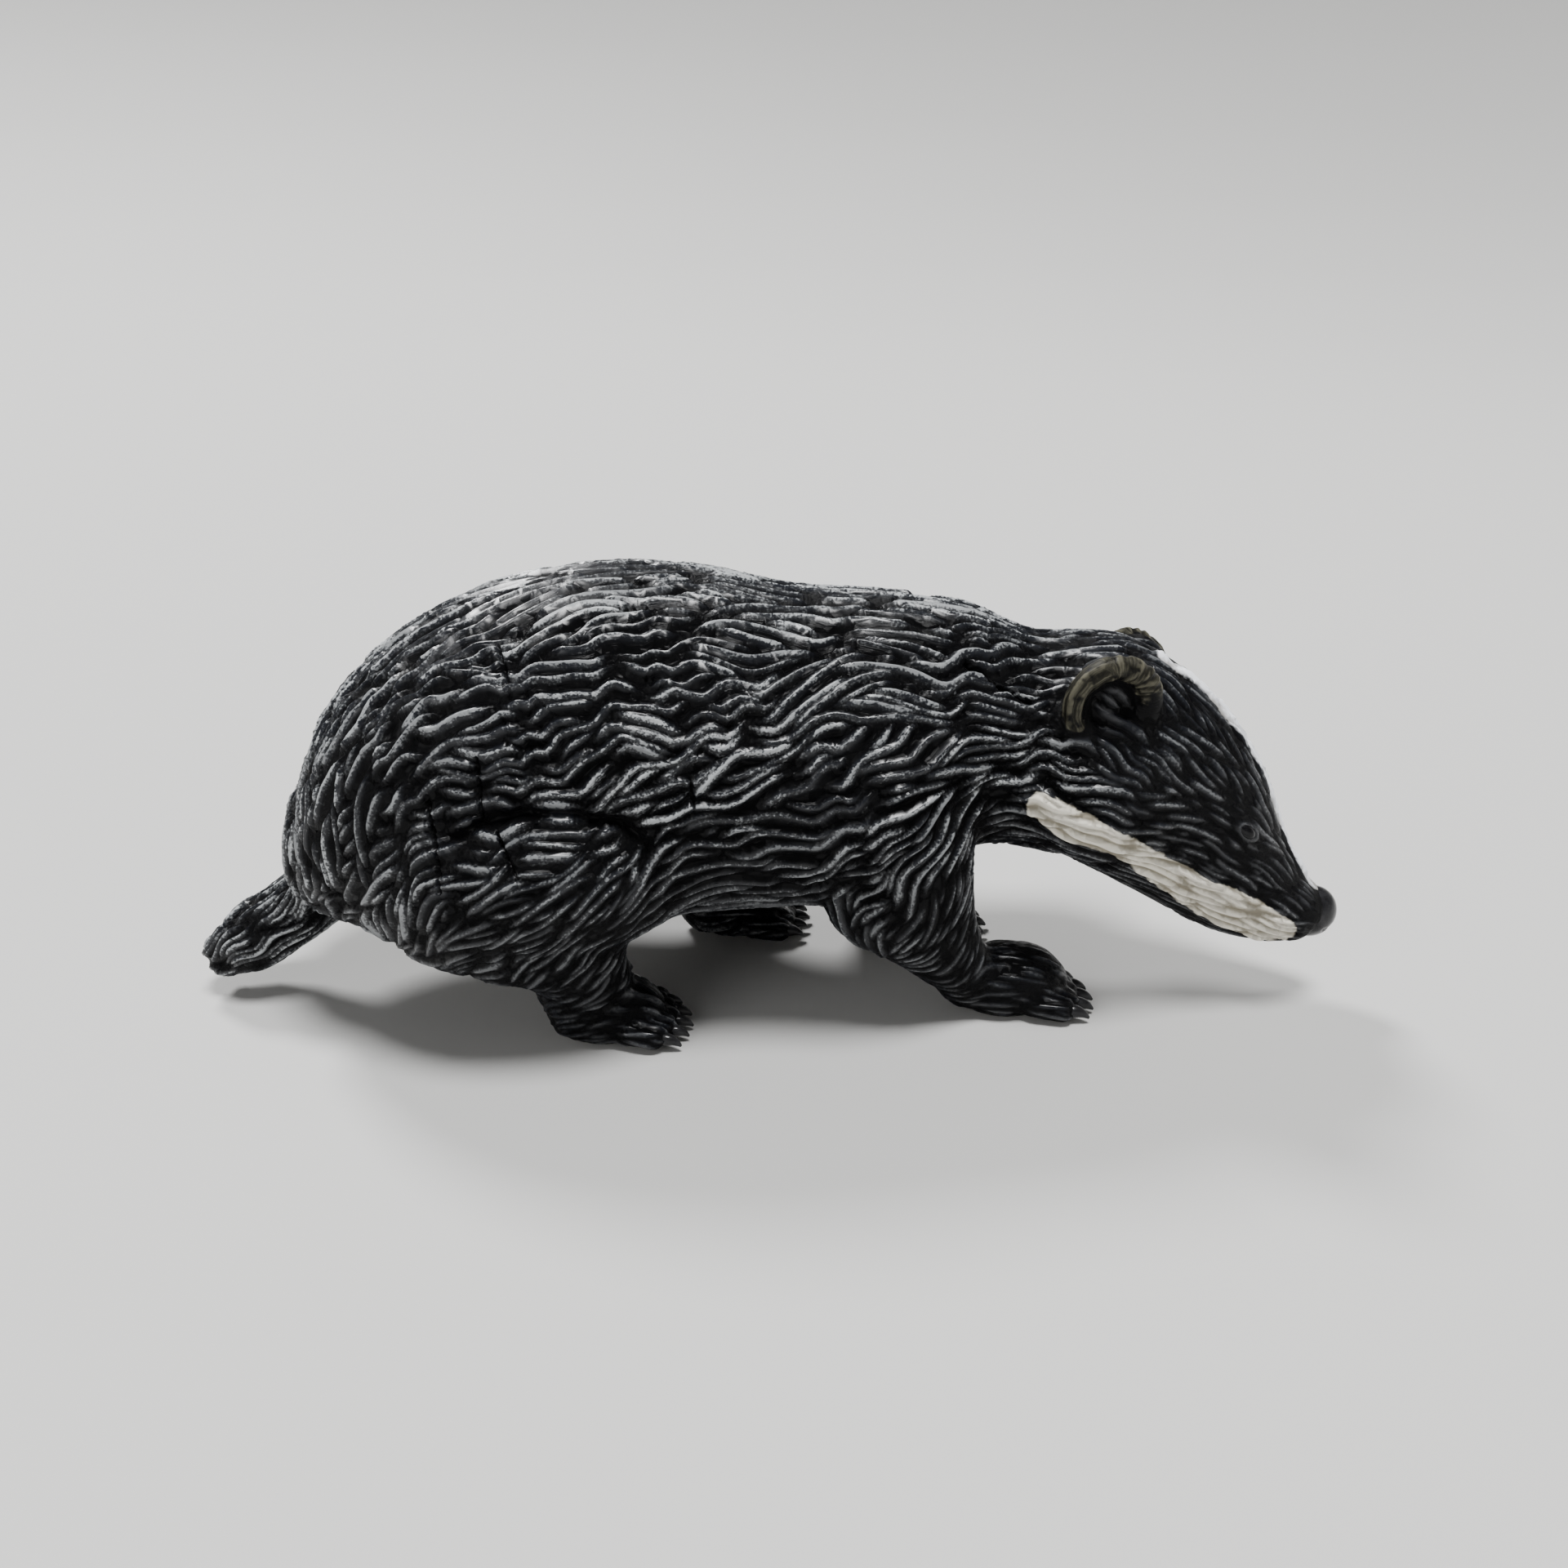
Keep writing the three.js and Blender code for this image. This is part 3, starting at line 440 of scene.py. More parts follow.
def tube_form(line, radii, sides=24, cap_rows=6):
    """A closed tube with round ends along points."""
    line = np.asarray(line, float)
    tangents = np.gradient(line, axis=0)
    tangents /= np.linalg.norm(tangents, axis=1)[:, None]
    guide = np.cross(tangents[0], tangents[len(line) // 2] + (0, 0.01, 0))
    guide /= np.linalg.norm(guide)
    across, rise = round_ring(sides)
    stacks = len(line) - 1 + 2 * cap_rows
    rows = []
    for row in range(stacks + 1):
        _, girth, past = cap_at(row, stacks, (radii[0], radii[-1]), cap_rows)
        i = min(max(row - cap_rows, 0), len(line) - 1)
        side = guide - tangents[i] * (guide @ tangents[i])
        side /= np.linalg.norm(side)
        spread = across[:, None] * side + rise[:, None] * np.cross(tangents[i], side)
        rows.append(line[i] + tangents[i] * past + spread * radii[i] * girth)
    return closed_form(rows)


def toe_places(paw):
    """For each toe of a paw: its root, its heading in radians, and its reach."""
    at, half, splay = PAWS[paw]
    middle = (TOES - 1) / 2
    places = []
    for i in range(TOES):
        across = (i - middle) / middle
        root = np.array([at[0] + half[0] * TOE_FROM, at[1] + across * (half[1] - TOE_INSET),
                         TOE_HEIGHT - SOLE_SINK])
        places.append((root, math.radians(splay + across * TOE_FAN),
                       TOE_REACH * (1 - TOE_SHORTENING * across * across)))
    return places


def toe_turn(heading):
    return np.array(Matrix.Rotation(heading, 3, "Z")
                    @ Matrix.Rotation(math.radians(TOE_DROOP), 3, "Y"))


def paw_forms(paw):
    at, half, _ = PAWS[paw]
    forms = [ellipsoid_form(half, at=np.array(at) - (0, 0, SOLE_SINK))]
    for root, heading, reach in toe_places(paw):
        axis = toe_turn(heading)[:, 0]
        line = root + np.linspace(0, 1, 8)[:, None] * axis * reach
        forms.append(tube_form(line, np.full(8, TOE_RADIUS)))
    return forms


def tail_form(sides=48, stacks=40, cap_rows=7):
    slope = math.radians(TAIL_SLOPE)
    along = np.array([-math.cos(slope), 0, -math.sin(slope)])
    above = np.array([along[2], 0, -along[0]])
    rise, right = round_ring(sides)
    rows = []
    for row in range(stacks + 1):
        share, girth, past = cap_at(row, stacks, TAIL_CAPS, cap_rows)
        x, z, height, width = row_at(TAIL, share * (len(TAIL) - 1))
        centre = np.array([x, 0, z]) + along * past
        rows.append(centre + above * (height * girth * rise)[:, None]
                    + np.array([0, -1, 0]) * (width * girth * right)[:, None])
    return closed_form(rows)


def ear_axes(side, turn, lean):
    return np.array(Matrix.Rotation(math.radians(-side * lean), 3, "X")
                    @ Matrix.Rotation(math.radians(-side * turn), 3, "Z"))


def ear_rim_line(at, side, turn, lean, steps=RIM_STEPS):
    a = np.radians(np.linspace(*EAR_RIM_ENDS, steps))
    arch = np.stack([EAR_ARCH[0] * np.cos(a), np.zeros(steps), EAR_ARCH[1] * np.sin(a)], 1)
    return arch @ ear_axes(side, turn, lean).T + at


def ear_forms(at, side, turn, lean):
    line = ear_rim_line(at, side, turn, lean)
    radii = np.linspace(*EAR_RIM_RADII, len(line))
    axes = ear_axes(side, turn, lean)
    behind = axes @ np.array([0, -side * EAR_BACK_BEHIND, 0]) + at
    return [tube_form(line, radii), ellipsoid_form(EAR_BACK, axes, behind)]


def all_forms():
    forms = [trunk_form(), tail_form()]
    forms += [limb_form(rings) for rings in LIMBS.values()]
    for paw in PAWS:
        forms += paw_forms(paw)
    for ear in EARS:
        forms += ear_forms(*ear)
    return forms


def to_world(points):
    return (np.asarray(points, float) + np.array(DRAWING_SHIFT)) * MM


def to_drawing(points):
    return np.asarray(points, float) / MM - np.array(DRAWING_SHIFT)


def join_forms(forms):
    points, faces, start = [], [], 0
    for form_points, form_faces in forms:
        points.append(form_points)
        faces += [tuple(start + k for k in face) for face in form_faces]
        start += len(form_points)
    return np.concatenate(points), faces


def new_piece(name, points, faces):
    """An object at the origin with its place in its mesh, in metres."""
    mesh = bpy.data.meshes.new(name)
    mesh.from_pydata(to_world(points).tolist(), [], faces)
    mesh.update()
    mesh.shade_smooth()
    piece = bpy.data.objects.new(name, mesh)
    bpy.context.scene.collection.objects.link(piece)
    return piece


def applied(piece):
    """The piece's mesh with its modifiers applied, and the modifiers taken off."""
    graph = bpy.context.evaluated_depsgraph_get()
    graph.update()
    made = bpy.data.meshes.new_from_object(piece.evaluated_get(graph), depsgraph=graph)
    piece.modifiers.clear()
    old = piece.data
    piece.data = made
    bpy.data.meshes.remove(old)
    return made


def mesh_array(items, key, width, kind=np.float32):
    """One value of each of a mesh's items, as rows."""
    flat = np.empty(len(items) * width, kind)
    items.foreach_get(key, flat)
    return flat.reshape(-1, width)


def mesh_points(mesh):
    return mesh_array(mesh.vertices, "co", 3).astype(float)


def set_points(mesh, points):
    mesh.vertices.foreach_set("co", np.asarray(points, np.float32).ravel())
    mesh.update()


def tree_of(points):
    tree = KDTree(len(points))
    for i, p in enumerate(points.tolist()):
        tree.insert(p, i)
    tree.balance()
    return tree


def smoothed(points, edges, weight, rounds):
    """Points moved towards their neighbours' mean, as far as weight says."""
    a, b = edges.T
    count = len(points)
    degree = np.bincount(a, minlength=count) + np.bincount(b, minlength=count)
    points = points.copy()
    for _ in range(rounds):
        mean = np.stack([np.bincount(a, points[b, k], count) + np.bincount(b, points[a, k], count)
                         for k in range(3)], 1) / degree[:, None]
        points += weight[:, None] * (mean - points)
    return points


def near_segments(points, line):
    """Distance from points to a line of points, and the place along it."""
    line = np.asarray(line, float)
    best = np.full(len(points), 1e9)
    place = np.zeros(len(points))
    for i in range(len(line) - 1):
        step = line[i + 1] - line[i]
        t = np.clip(((points - line[i]) @ step) / (step @ step), 0, 1)
        gap = np.linalg.norm(points - line[i] - t[:, None] * step, axis=1)
        closer = gap < best
        best[closer] = gap[closer]
        place[closer] = i + t[closer]
    return best, place


def gap_to(points, places, shape=(1, 1, 1)):
    """Distance from points to the nearest of a few places, in a space stretched by shape."""
    return np.min([np.linalg.norm((points - place) * shape, axis=1) for place in places], axis=0)


def fade(value, start, end):
    """0 at start and 1 at end, smoothly."""
    t = np.clip((value - start) / (end - start), 0, 1)
    return t * t * (3 - 2 * t)


def stripe_cover(flat, rows):
    """How far inside a stripe each flat point lies. A stripe is a smooth line with a half-width."""
    smooth = np.array([row_at(rows, u) for u in np.linspace(0, len(rows) - 1, STRIPE_STEPS)])
    gap, place = near_segments(flat, smooth[:, :2])
    return np.interp(place, np.arange(STRIPE_STEPS), smooth[:, 2]) - gap


def stripe_depth(points, normals):
    """How far inside the white stripes each point lies, in mm, and whether that is the blaze."""
    inside, on_blaze = np.full(len(points), OUTSIDE), np.zeros(len(points))
    local = to_head(points)
    head = local[:, 0] > HEAD_FROM
    along, side, up = local[head].T
    cheek = stripe_cover(np.stack([along, up], 1), CHEEK_STRIPE)
    cheek[np.abs(side) <= CHEEK_FROM] = OUTSIDE
    blaze = stripe_cover(np.stack([along, side], 1), BLAZE)
    blaze[((normals @ HEAD_AXES)[head, 2] <= 0.1) | (up <= 0)] = OUTSIDE
    on_blaze[head] = blaze > cheek
    inside[head] = np.maximum(cheek, blaze)
    return inside, on_blaze


def ear_rim_depth(points):
    """How far inside the ears' painted rims each point lies, in mm, the relief of their hair, and
    the place along and across a hair."""
    inside = np.full(len(points), OUTSIDE)
    relief = np.zeros(len(points))
    strand = np.zeros((len(points), 3))
    for at, side, turn, lean in EARS:
        line = ear_rim_line(np.array(at, float), side, turn, lean)
        near = np.linalg.norm(points - at, axis=1) < EAR_REACH
        gap, place = near_segments(points[near], line)
        radius = np.interp(place, [0, len(line) - 1], EAR_RIM_RADII)
        bare = RIM_BARE[0] * fade(place, RIM_BARE[1], 0)
        inside[near] = np.maximum(inside[near], radius + RIM_PAINT_PAST - bare - gap)
        local = (points[near] - at) @ ear_axes(side, turn, lean)
        outward = np.hypot(local[:, 0] / EAR_ARCH[0], local[:, 2] / EAR_ARCH[1]) - 1
        around = np.arctan2(local[:, 1], EAR_ARCH[1] * outward)
        ragged = waves(points[near], *RIM_RAGGED[:2])
        spokes = np.cos(place * RIM_HAIRS + RIM_HAIRS * outward + RIM_RAGGED[2] * ragged)
        rings = np.cos(around * RIM_RINGS + RIM_WIND * place + ragged)
        front = fade(place, *RIM_FRONT)
        relief[near] = front * spokes + (1 - front) * rings
        run, kind = place * RIM_STEP, np.ones(len(place))
        lengthwise = np.stack([run, around * radius, kind * RIM_STRANDS[0]], 1)
        crosswise = np.stack([outward * EAR_ARCH[1], run, kind * RIM_STRANDS[1]], 1)
        strand[near] = np.where((front > 0.5)[:, None], crosswise, lengthwise)
    return inside, relief, strand


def blend_table(points, places, reach, values):
    """Values of a table at points, weighted by nearness in x and z."""
    total = np.zeros((len(points), values.shape[1]))
    weights = np.full(len(points), 1e-9)
    for (x, z), r, value in zip(places, reach, values):
        w = np.exp(-((points[:, 0] - x) ** 2 + (points[:, 2] - z) ** 2) / (2 * r * r)) + 1e-7
        total += w[:, None] * value
        weights += w
    return total / weights[:, None]


def waves(points, seed, scale, count=6, lengths=(0.7, 1.5), height=2.4):
    """A smooth field between about -1 and 1, made of a few long waves."""
    rng = np.random.default_rng(seed)
    field = np.zeros(len(points))
    for _ in range(count):
        way = rng.normal(size=3)
        way /= np.linalg.norm(way)
        field += np.sin(points @ way * (2 * math.pi / (scale * rng.uniform(*lengths)))
                        + rng.uniform(0, 2 * math.pi))
    return field / height


def coat_field(points, normals):
    """Direction of the hair at each point, and the zone's width, depth, length and grey."""
    flow = np.array(COAT_FLOW, float)
    reach = np.full(len(flow), FLOW_REACH)
    angle = blend_table(points, flow[:, :2], reach, flow[:, 2:])[:, 0]
    zones = np.array(list(COAT_ZONES.values()), float)
    zone = blend_table(points, zones[:, :2], zones[:, 2], zones[:, 3:])
    theta = np.radians(angle)
    run = points[:, 0] * np.cos(theta) + points[:, 2] * np.sin(theta)
    sway = np.radians(SWAY) * np.clip(zone[:, 1] / SWAY_DEPTH, *SWAY_SHARES)
    shift = SWAY_WAVES[0] * waves(points, *SWAY_WAVES[1:])
    theta = theta + sway * np.sin(run * (2 * math.pi / SWAY_LENGTH) + shift)
    side = np.tanh(-points[:, 1] / SIDE_TURN)
    inwards, upwards = PICTURE_UP
    direction = np.stack([np.cos(theta), inwards * side * np.sin(theta),
                          upwards * np.sin(theta)], 1)
    direction -= normals * np.sum(direction * normals, axis=1)[:, None]
    direction /= np.linalg.norm(direction, axis=1)[:, None] + 1e-9
    return direction, zone


def coat_strokes(points, normals, direction, zone, open_skin, seed):
    """Evenly spaced tufts that follow the field and run into each other at their ends. Each is a
    list of places and headings, with its width and height."""
    rng = np.random.default_rng(seed)
    tree = tree_of(points)
    places = [Vector(p) for p in points.tolist()]
    normals = [Vector(n) for n in normals.tolist()]
    direction = [Vector(d) for d in direction.tolist()]
    stop_here = bytearray((~open_skin).astype(np.uint8).tobytes())
    no_start = bytearray(stop_here)
    strokes = []
    for start in rng.permutation(len(points)).tolist():
        if no_start[start]:
            continue
        width, _, length, _ = zone[start]
        width *= rng.uniform(*TUFT_WIDTHS)
        length *= rng.uniform(*TUFT_LENGTHS)
        lean = rng.normal(0, TUFT_SPREAD)
        halves = []
        for way in (1, -1):
            p, half = places[start].copy(), []
            while len(half) * STROKE_STEP < length / 2:
                index = tree.find(p)[1]
                if stop_here[index]:
                    break
                n, d = normals[index], direction[index]
                p = p - n * n.dot(p - places[index])
                heading = d + n.cross(d) * lean
                half.append((p.copy(), heading))
                p = p + heading * (way * STROKE_STEP)
            halves.append(half)
        line = halves[1][::-1] + halves[0][1:]
        for k, (p, _) in enumerate(line):
            for _, i, _ in tree.find_range(p, STOP_REACH * width):
                stop_here[i] = 1
            if k % 2 == 0:
                for _, i, _ in tree.find_range(p, START_REACH * width):
                    no_start[i] = 1
        no_start[start] = 1
        if len(line) >= TUFT_STEPS:
            strokes.append((line, width, rng.uniform(*TUFT_HEIGHTS)))
    return strokes


def stroke_table(strokes):
    """Rows: place 0-2, heading 3-5, distance along 6, half-width 7, height 8, tuft's number 9."""
    rows = []
    for number, (line, width, height) in enumerate(strokes):
        count = len(line)
        for k, (p, heading) in enumerate(line):
            end = min(k, count - 1 - k) * STROKE_STEP
            taper = min(1.0, TAPER[0] + end / TAPER[1])
            rows.append((*p, *heading, k * STROKE_STEP, STROKE_HALF * width * taper ** 0.5,
                         height * taper, number))
    return np.array(rows)


def near_pairs(points, centres, cell):
    """Index pairs of points and centres whose cells touch, one block of neighbours at a time."""
    low = np.minimum(points.min(0), centres.min(0)) - 2 * cell
    size = (np.ceil((np.maximum(points.max(0), centres.max(0)) - low) / cell) + 3).astype(np.int64)

    def keys(where):
        return (where[:, 0] * size[1] + where[:, 1]) * size[2] + where[:, 2]

    own = np.floor((points - low) / cell).astype(np.int64)
    centre_keys = keys(np.floor((centres - low) / cell).astype(np.int64))
    order = np.argsort(centre_keys, kind="stable")
    sorted_keys = centre_keys[order]
    for step in product((-1, 0, 1), repeat=3):
        wanted = keys(own + step)
        first = np.searchsorted(sorted_keys, wanted, "left")
        count = np.searchsorted(sorted_keys, wanted, "right") - first
        total = int(count.sum())
        if not total:
            continue
        point = np.repeat(np.arange(len(points)), count)
        shift = np.repeat(first - (np.cumsum(count) - count), count)
        yield point, order[shift + np.arange(total)]


def stamp(points, normals, table):
    """Height of the tufts over each point from 0 to 1, and there the place along and across the
    tuft and its number."""
    height, across, along, number = np.zeros((4, len(points)))
    crest_at = CREST_LEAN * np.tanh(-points[:, 1] / CREST_TURN)
    cell = table[:, 7].max()
    for point, row in near_pairs(points, table[:, :3], cell):
        gap = points[point] - table[row, :3]
        ahead = np.sum(gap * table[row, 3:6], axis=1)
        share = np.sum(gap * np.cross(normals[point], table[row, 3:6]), axis=1) / table[row, 7]
        keep = (np.abs(ahead) < STAMP_AHEAD * STROKE_STEP) & (np.abs(share) < 1) & (
            np.sum(gap * gap, axis=1) < STAMP_AWAY * cell * cell)
        point, row, share, ahead = point[keep], row[keep], share[keep], ahead[keep]
        off_crest = share - crest_at[point]
        slope = np.abs(off_crest) / (1 - np.sign(off_crest) * crest_at[point])
        made = table[row, 8] * (1 - slope ** CREST_ROUNDNESS)
        order = np.argsort(made, kind="stable")
        pick = np.full(len(points), -1)
        pick[point[order]] = order  # the last written, so the highest, stays
        better = pick >= 0
        better[better] = made[pick[better]] > height[better]
        k = pick[better]
        height[better] = made[k]
        across[better] = share[k] * table[row[k], 7]
        along[better] = table[row[k], 6] + ahead[k]
        number[better] = table[row[k], 9]
    return height, along, across, number


def fold_cut(points):
    """Depth of the deep folds and of the splits at each point of the right side."""
    fold, split = np.zeros((2, len(points)))
    right = fade(-points[:, 1], *FOLD_SIDE)
    flat = points[:, [0, 2]]
    for line, half, depth in FOLDS.values():
        gap, place = near_segments(flat, line)
        taper = np.clip(np.minimum(place, len(line) - 1 - place) * FOLD_TAPER, 0, 1)
        fold = np.maximum(fold, depth * taper * (1 - fade(gap, 0, half)))
    for line in SPLITS:
        gap, _ = near_segments(flat, line)
        split = np.maximum(split, SPLIT_DEPTH * (1 - fade(gap, 0, SPLIT_HALF)))
    return fold * right, split * right


class Wire:
    """A socket of a material's nodes, so that paint can be written as sums."""

    def __init__(self, tree, socket):
        self.tree = tree
        self.socket = socket

    @classmethod
    def made(cls, tree, kind, output=0, settings=None, **inputs):
        """Adds a node: its type, settings first, then values and links by socket name or number."""
        node = tree.nodes.new(kind)
        for key, value in (settings or {}).items():
            setattr(node, key, value)
        for key, value in inputs.items():
            socket = node.inputs[int(key[1:]) if key[0] == "_" else key.replace("_", " ")]
            if isinstance(value, cls):
                tree.links.new(value.socket, socket)
            else:
                socket.default_value = value
        return cls(tree, node.outputs[output])

    def node(self, kind, output=0, settings=None, **inputs):
        return Wire.made(self.tree, kind, output, settings, **inputs)

    def maths(self, operation, first, second=0.0, clamp=False):
        return self.node("ShaderNodeMath", settings={"operation": operation, "use_clamp": clamp},
                         _0=first, _1=second)

    def __add__(self, other):
        return self.maths("ADD", self, other)

    def __radd__(self, other):
        return self.maths("ADD", other, self)

    def __sub__(self, other):
        return self.maths("SUBTRACT", self, other)

    def __rsub__(self, other):
        return self.maths("SUBTRACT", other, self)

    def __mul__(self, other):
        return self.maths("MULTIPLY", self, other)

    def __rmul__(self, other):
        return self.maths("MULTIPLY", other, self)

    def clamped(self):
        return self.maths("ADD", self, 0.0, clamp=True)

    def step(self, start, end):
        """0 at start and 1 at end, smoothly."""
        return self.node("ShaderNodeMapRange", settings={"interpolation_type": "SMOOTHSTEP"},
                         _0=self, _1=start, _2=end)

    def stretched(self, scale):
        return self.node("ShaderNodeVectorMath", settings={"operation": "MULTIPLY"},
                         _0=self, _1=scale)

    def noise(self, scale, detail=2.0, roughness=0.5):
        return self.node("ShaderNodeTexNoise", Vector=self, Scale=scale, Detail=detail,
                         Roughness=roughness)

    def mixed(self, first, second, blend="MIX"):
        """A colour between first and second, with this wire as the factor."""
        settings = {"data_type": "RGBA", "blend_type": blend}
        return self.node("ShaderNodeMix", output=2, settings=settings, _0=self, _6=first, _7=second)

    def bump(self, strength, distance):
        return self.node("ShaderNodeBump", Strength=strength, Distance=distance, Height=self)


def new_paint(name, roughness, specular=0.5, coat=0.0, coat_roughness=0.1):
    """A material with a Principled shader: returns it, its shader and its tree."""
    material = bpy.data.materials.new(name)
    material.use_nodes = True
    tree = material.node_tree
    tree.nodes.clear()
    shader = tree.nodes.new("ShaderNodeBsdfPrincipled")
    for socket, value in (("Roughness", roughness), ("Specular IOR Level", specular),
                          ("Coat Weight", coat), ("Coat Roughness", coat_roughness)):
        shader.inputs[socket].default_value = value
    output = tree.nodes.new("ShaderNodeOutputMaterial")
    tree.links.new(shader.outputs[0], output.inputs["Surface"])
    return material, shader, tree


def attribute(tree, name, output="Fac"):
    node = tree.nodes.new("ShaderNodeAttribute")
    node.attribute_name = name
    return Wire(tree, node.outputs[output])


def into(shader, socket, wire):
    wire.tree.links.new(wire.socket, shader.inputs[socket])


def object_place(tree):
    node = tree.nodes.new("ShaderNodeTexCoord")
    return Wire(tree, node.outputs["Object"])


def opaque(colour, share=1.0):
    return (*(share * c for c in colour), 1)


def skin_paint(look):
    """Black paint, brushed with grey on the coat's crests, with white stripes and tan ear rims,
    with painted shade in valleys and grooves and painted highlights on crests and rims.
    """
    material, shader, tree = new_paint("coat paint", 0.4, specular=0.08, coat=0.5,
                                       coat_roughness=0.24)
    place = object_place(tree)
    crest, brushed, stripe, rim, rim_relief = (
        attribute(tree, name) for name in ("crest", "brushed", "stripe", "rim", "rim_relief"))
    hairs = attribute(tree, "strand", "Vector").stretched(HAIR_SIZE).noise(1.0, 3.0, 0.6)
    grain = place.noise(1500.0, 2.0, 0.5)
    hair, patch, dust, speck = (noise - 0.5 for noise in (
        hairs, place.noise(170.0, 3.0, 0.6), grain, place.noise(5200.0, 1.0, 0.5)))

    # the coat's black: darker in the valleys as painted shade, lighter and bluer on the crests as
    # painted sky reflection
    black_shade_and_sheen = crest.step(0.3, 0.95).mixed(opaque(BLACK_VALLEY_SHADE), opaque(BLACK_CREST_SHEEN))
    uneven = hair + patch * 0.9 + dust * 0.9 + speck * 1.1
    edge = look.brush_edge
    light_touch = (crest + uneven).step(edge, edge + 0.5) * 0.28
    full_touch = (crest + uneven * 0.45).step(edge + 0.17, edge + 0.33)
    dry = (light_touch + full_touch * 0.72) * brushed
    grey = grain.mixed(opaque(look.brush_grey_and_sky_sheen), opaque(look.brush_grey_and_sky_sheen, 0.7))
    coat = (dry * look.brush_cover).clamped().mixed(black_shade_and_sheen, grey)

    white_cover = (stripe + hair * 0.35 + dust * 0.15).step(-0.06, 0.1)
    # the blaze is white paint with a bluish tint as painted sky reflection
    white = attribute(tree, "on_blaze").mixed(opaque(look.stripe_colour),
                                              opaque(look.blaze_white_and_sky_sheen))
    # the stripes' white is darkened in the grooves between their lit hairs: painted shade
    lit_hair = (crest + hair * 0.6 + dust * 0.4).step(0.0, 0.7)
    white = (1.0 - lit_hair).mixed(white, opaque(WHITE_GROOVE_SHADE), "MULTIPLY")
    coat = white_cover.mixed(coat, white)

    rim_cover = (rim + dust * 0.5).step(-0.02, 0.12)
    # the rims' tan is light on the ridges of their relief as painted highlight, and on random
    # hairs; elsewhere it is a dark copy of itself
    lit = (rim_relief * 0.28 + hair * 2.2 + dust * 0.6 + 0.5).step(0.2, 1.15)
    tan = lit.mixed(opaque(look.rim_colour, 0.13), opaque(look.rim_colour))
    into(shader, "Base Color", rim_cover.mixed(coat, tan))

    rough = 0.36 + dry * 0.3 + white_cover * 0.2 + rim_cover * 0.1 + dust * 0.3
    into(shader, "Roughness", rough.clamped())
    bare = (1.0 - dry * 0.8) * (1.0 - white_cover * 0.7) * (1.0 - rim_cover * 0.5)
    into(shader, "Coat Weight", (crest.step(0.4, 0.85) * bare * 0.7).clamped())
    into(shader, "Normal", (hairs * 0.8 + grain * 0.2).bump(0.6, 0.0002))
    return material


def gloss_paint(name, colour, roughness, grain_size, grain_depth, coat=0.35):
    """Gloss paint with a slightly uneven surface."""
    material, shader, tree = new_paint(name, roughness, specular=0.1, coat=coat,
                                       coat_roughness=0.06)
    place = object_place(tree)
    cloud = place.noise(grain_size * 0.35, 2.0, 0.5)
    worn = tuple(1.7 * c + 0.003 for c in colour)
    into(shader, "Base Color", cloud.step(0.3, 0.7).mixed(opaque(colour), opaque(worn)))
    into(shader, "Roughness", (roughness + (cloud - 0.5) * 0.15).clamped())
    into(shader, "Normal", place.noise(grain_size, 2.0, 0.5).bump(0.3, grain_depth))
    return material


def metres(name, description, default, **limits):
    return bpy.props.FloatProperty(name=name, description=description, default=default,
                                   unit="LENGTH", precision=5, **limits)


def factor(name, description, default, most=1.0):
    return bpy.props.FloatProperty(name=name, description=description, default=default,
                                   min=0.0, max=most, subtype="FACTOR")


def tint(name, description, default):
    return bpy.props.FloatVectorProperty(name=name, description=description, default=default,
                                         subtype="COLOR", size=3)


class BadgerLook(bpy.types.PropertyGroup):
    """Sizes and colours of the figure that a user would change."""
    voxel: metres("Skin grid", "Grid size that fuses the forms into one skin", 0.16 * MM,
                  min=0.1 * MM, max=MM)
    faces: bpy.props.IntProperty(name="Skin faces", default=196000, min=20000, max=199000,
                                 description="Triangles kept in the finished skin")
    depth: factor("Coat depth", "Depth of the moulded coat against the tables", 1.5, 2.0)
    seed: bpy.props.IntProperty(name="Coat seed", default=4,
                                description="Lays the tufts in another order")
    stripe_raise: metres("Stripe height", "How far the stripes stand out", 0.25 * MM)
    brush_edge: factor("Brush edge", "Height on a tuft where the grey starts", 0.57)
    brush_cover: factor("Brush cover", "How thickly the grey covers a crest", 0.8)
    # grey brush paint, tinted blue and lightened as painted sky reflection
    brush_grey_and_sky_sheen: tint("Brushed grey", "Paint on the crests of the coat", (0.625, 0.65, 0.665))
    stripe_colour: tint("Stripe", "Paint of the stripes", (0.75, 0.715, 0.62))
    # white paint of the blaze, tinted blue as painted sky reflection
    blaze_white_and_sky_sheen: tint("Blaze", "Paint of the stripe down the face", (0.84, 0.86, 0.9))
    rim_colour: tint("Ear rim", "Paint of the ears' rims", (0.095, 0.09, 0.066))
    claw_length: metres("Claw length", "Length of a claw past its toe", 1.3 * MM)
    claw_radius: metres("Claw radius", "Radius of a claw at its root", 0.5 * MM)


class StageLook(bpy.types.PropertyGroup):
    """The floor, the light and the camera."""
    floor_colour: tint("Floor", "Colour of the floor", (0.5, 0.498, 0.49))
    key_power: bpy.props.FloatProperty(name="Key light", default=3.6, unit="POWER",
                                       description="Power of the main soft light")
    world_strength: bpy.props.FloatProperty(name="Ambient light", default=0.2, min=0.0,
                                            description="Light from all round")


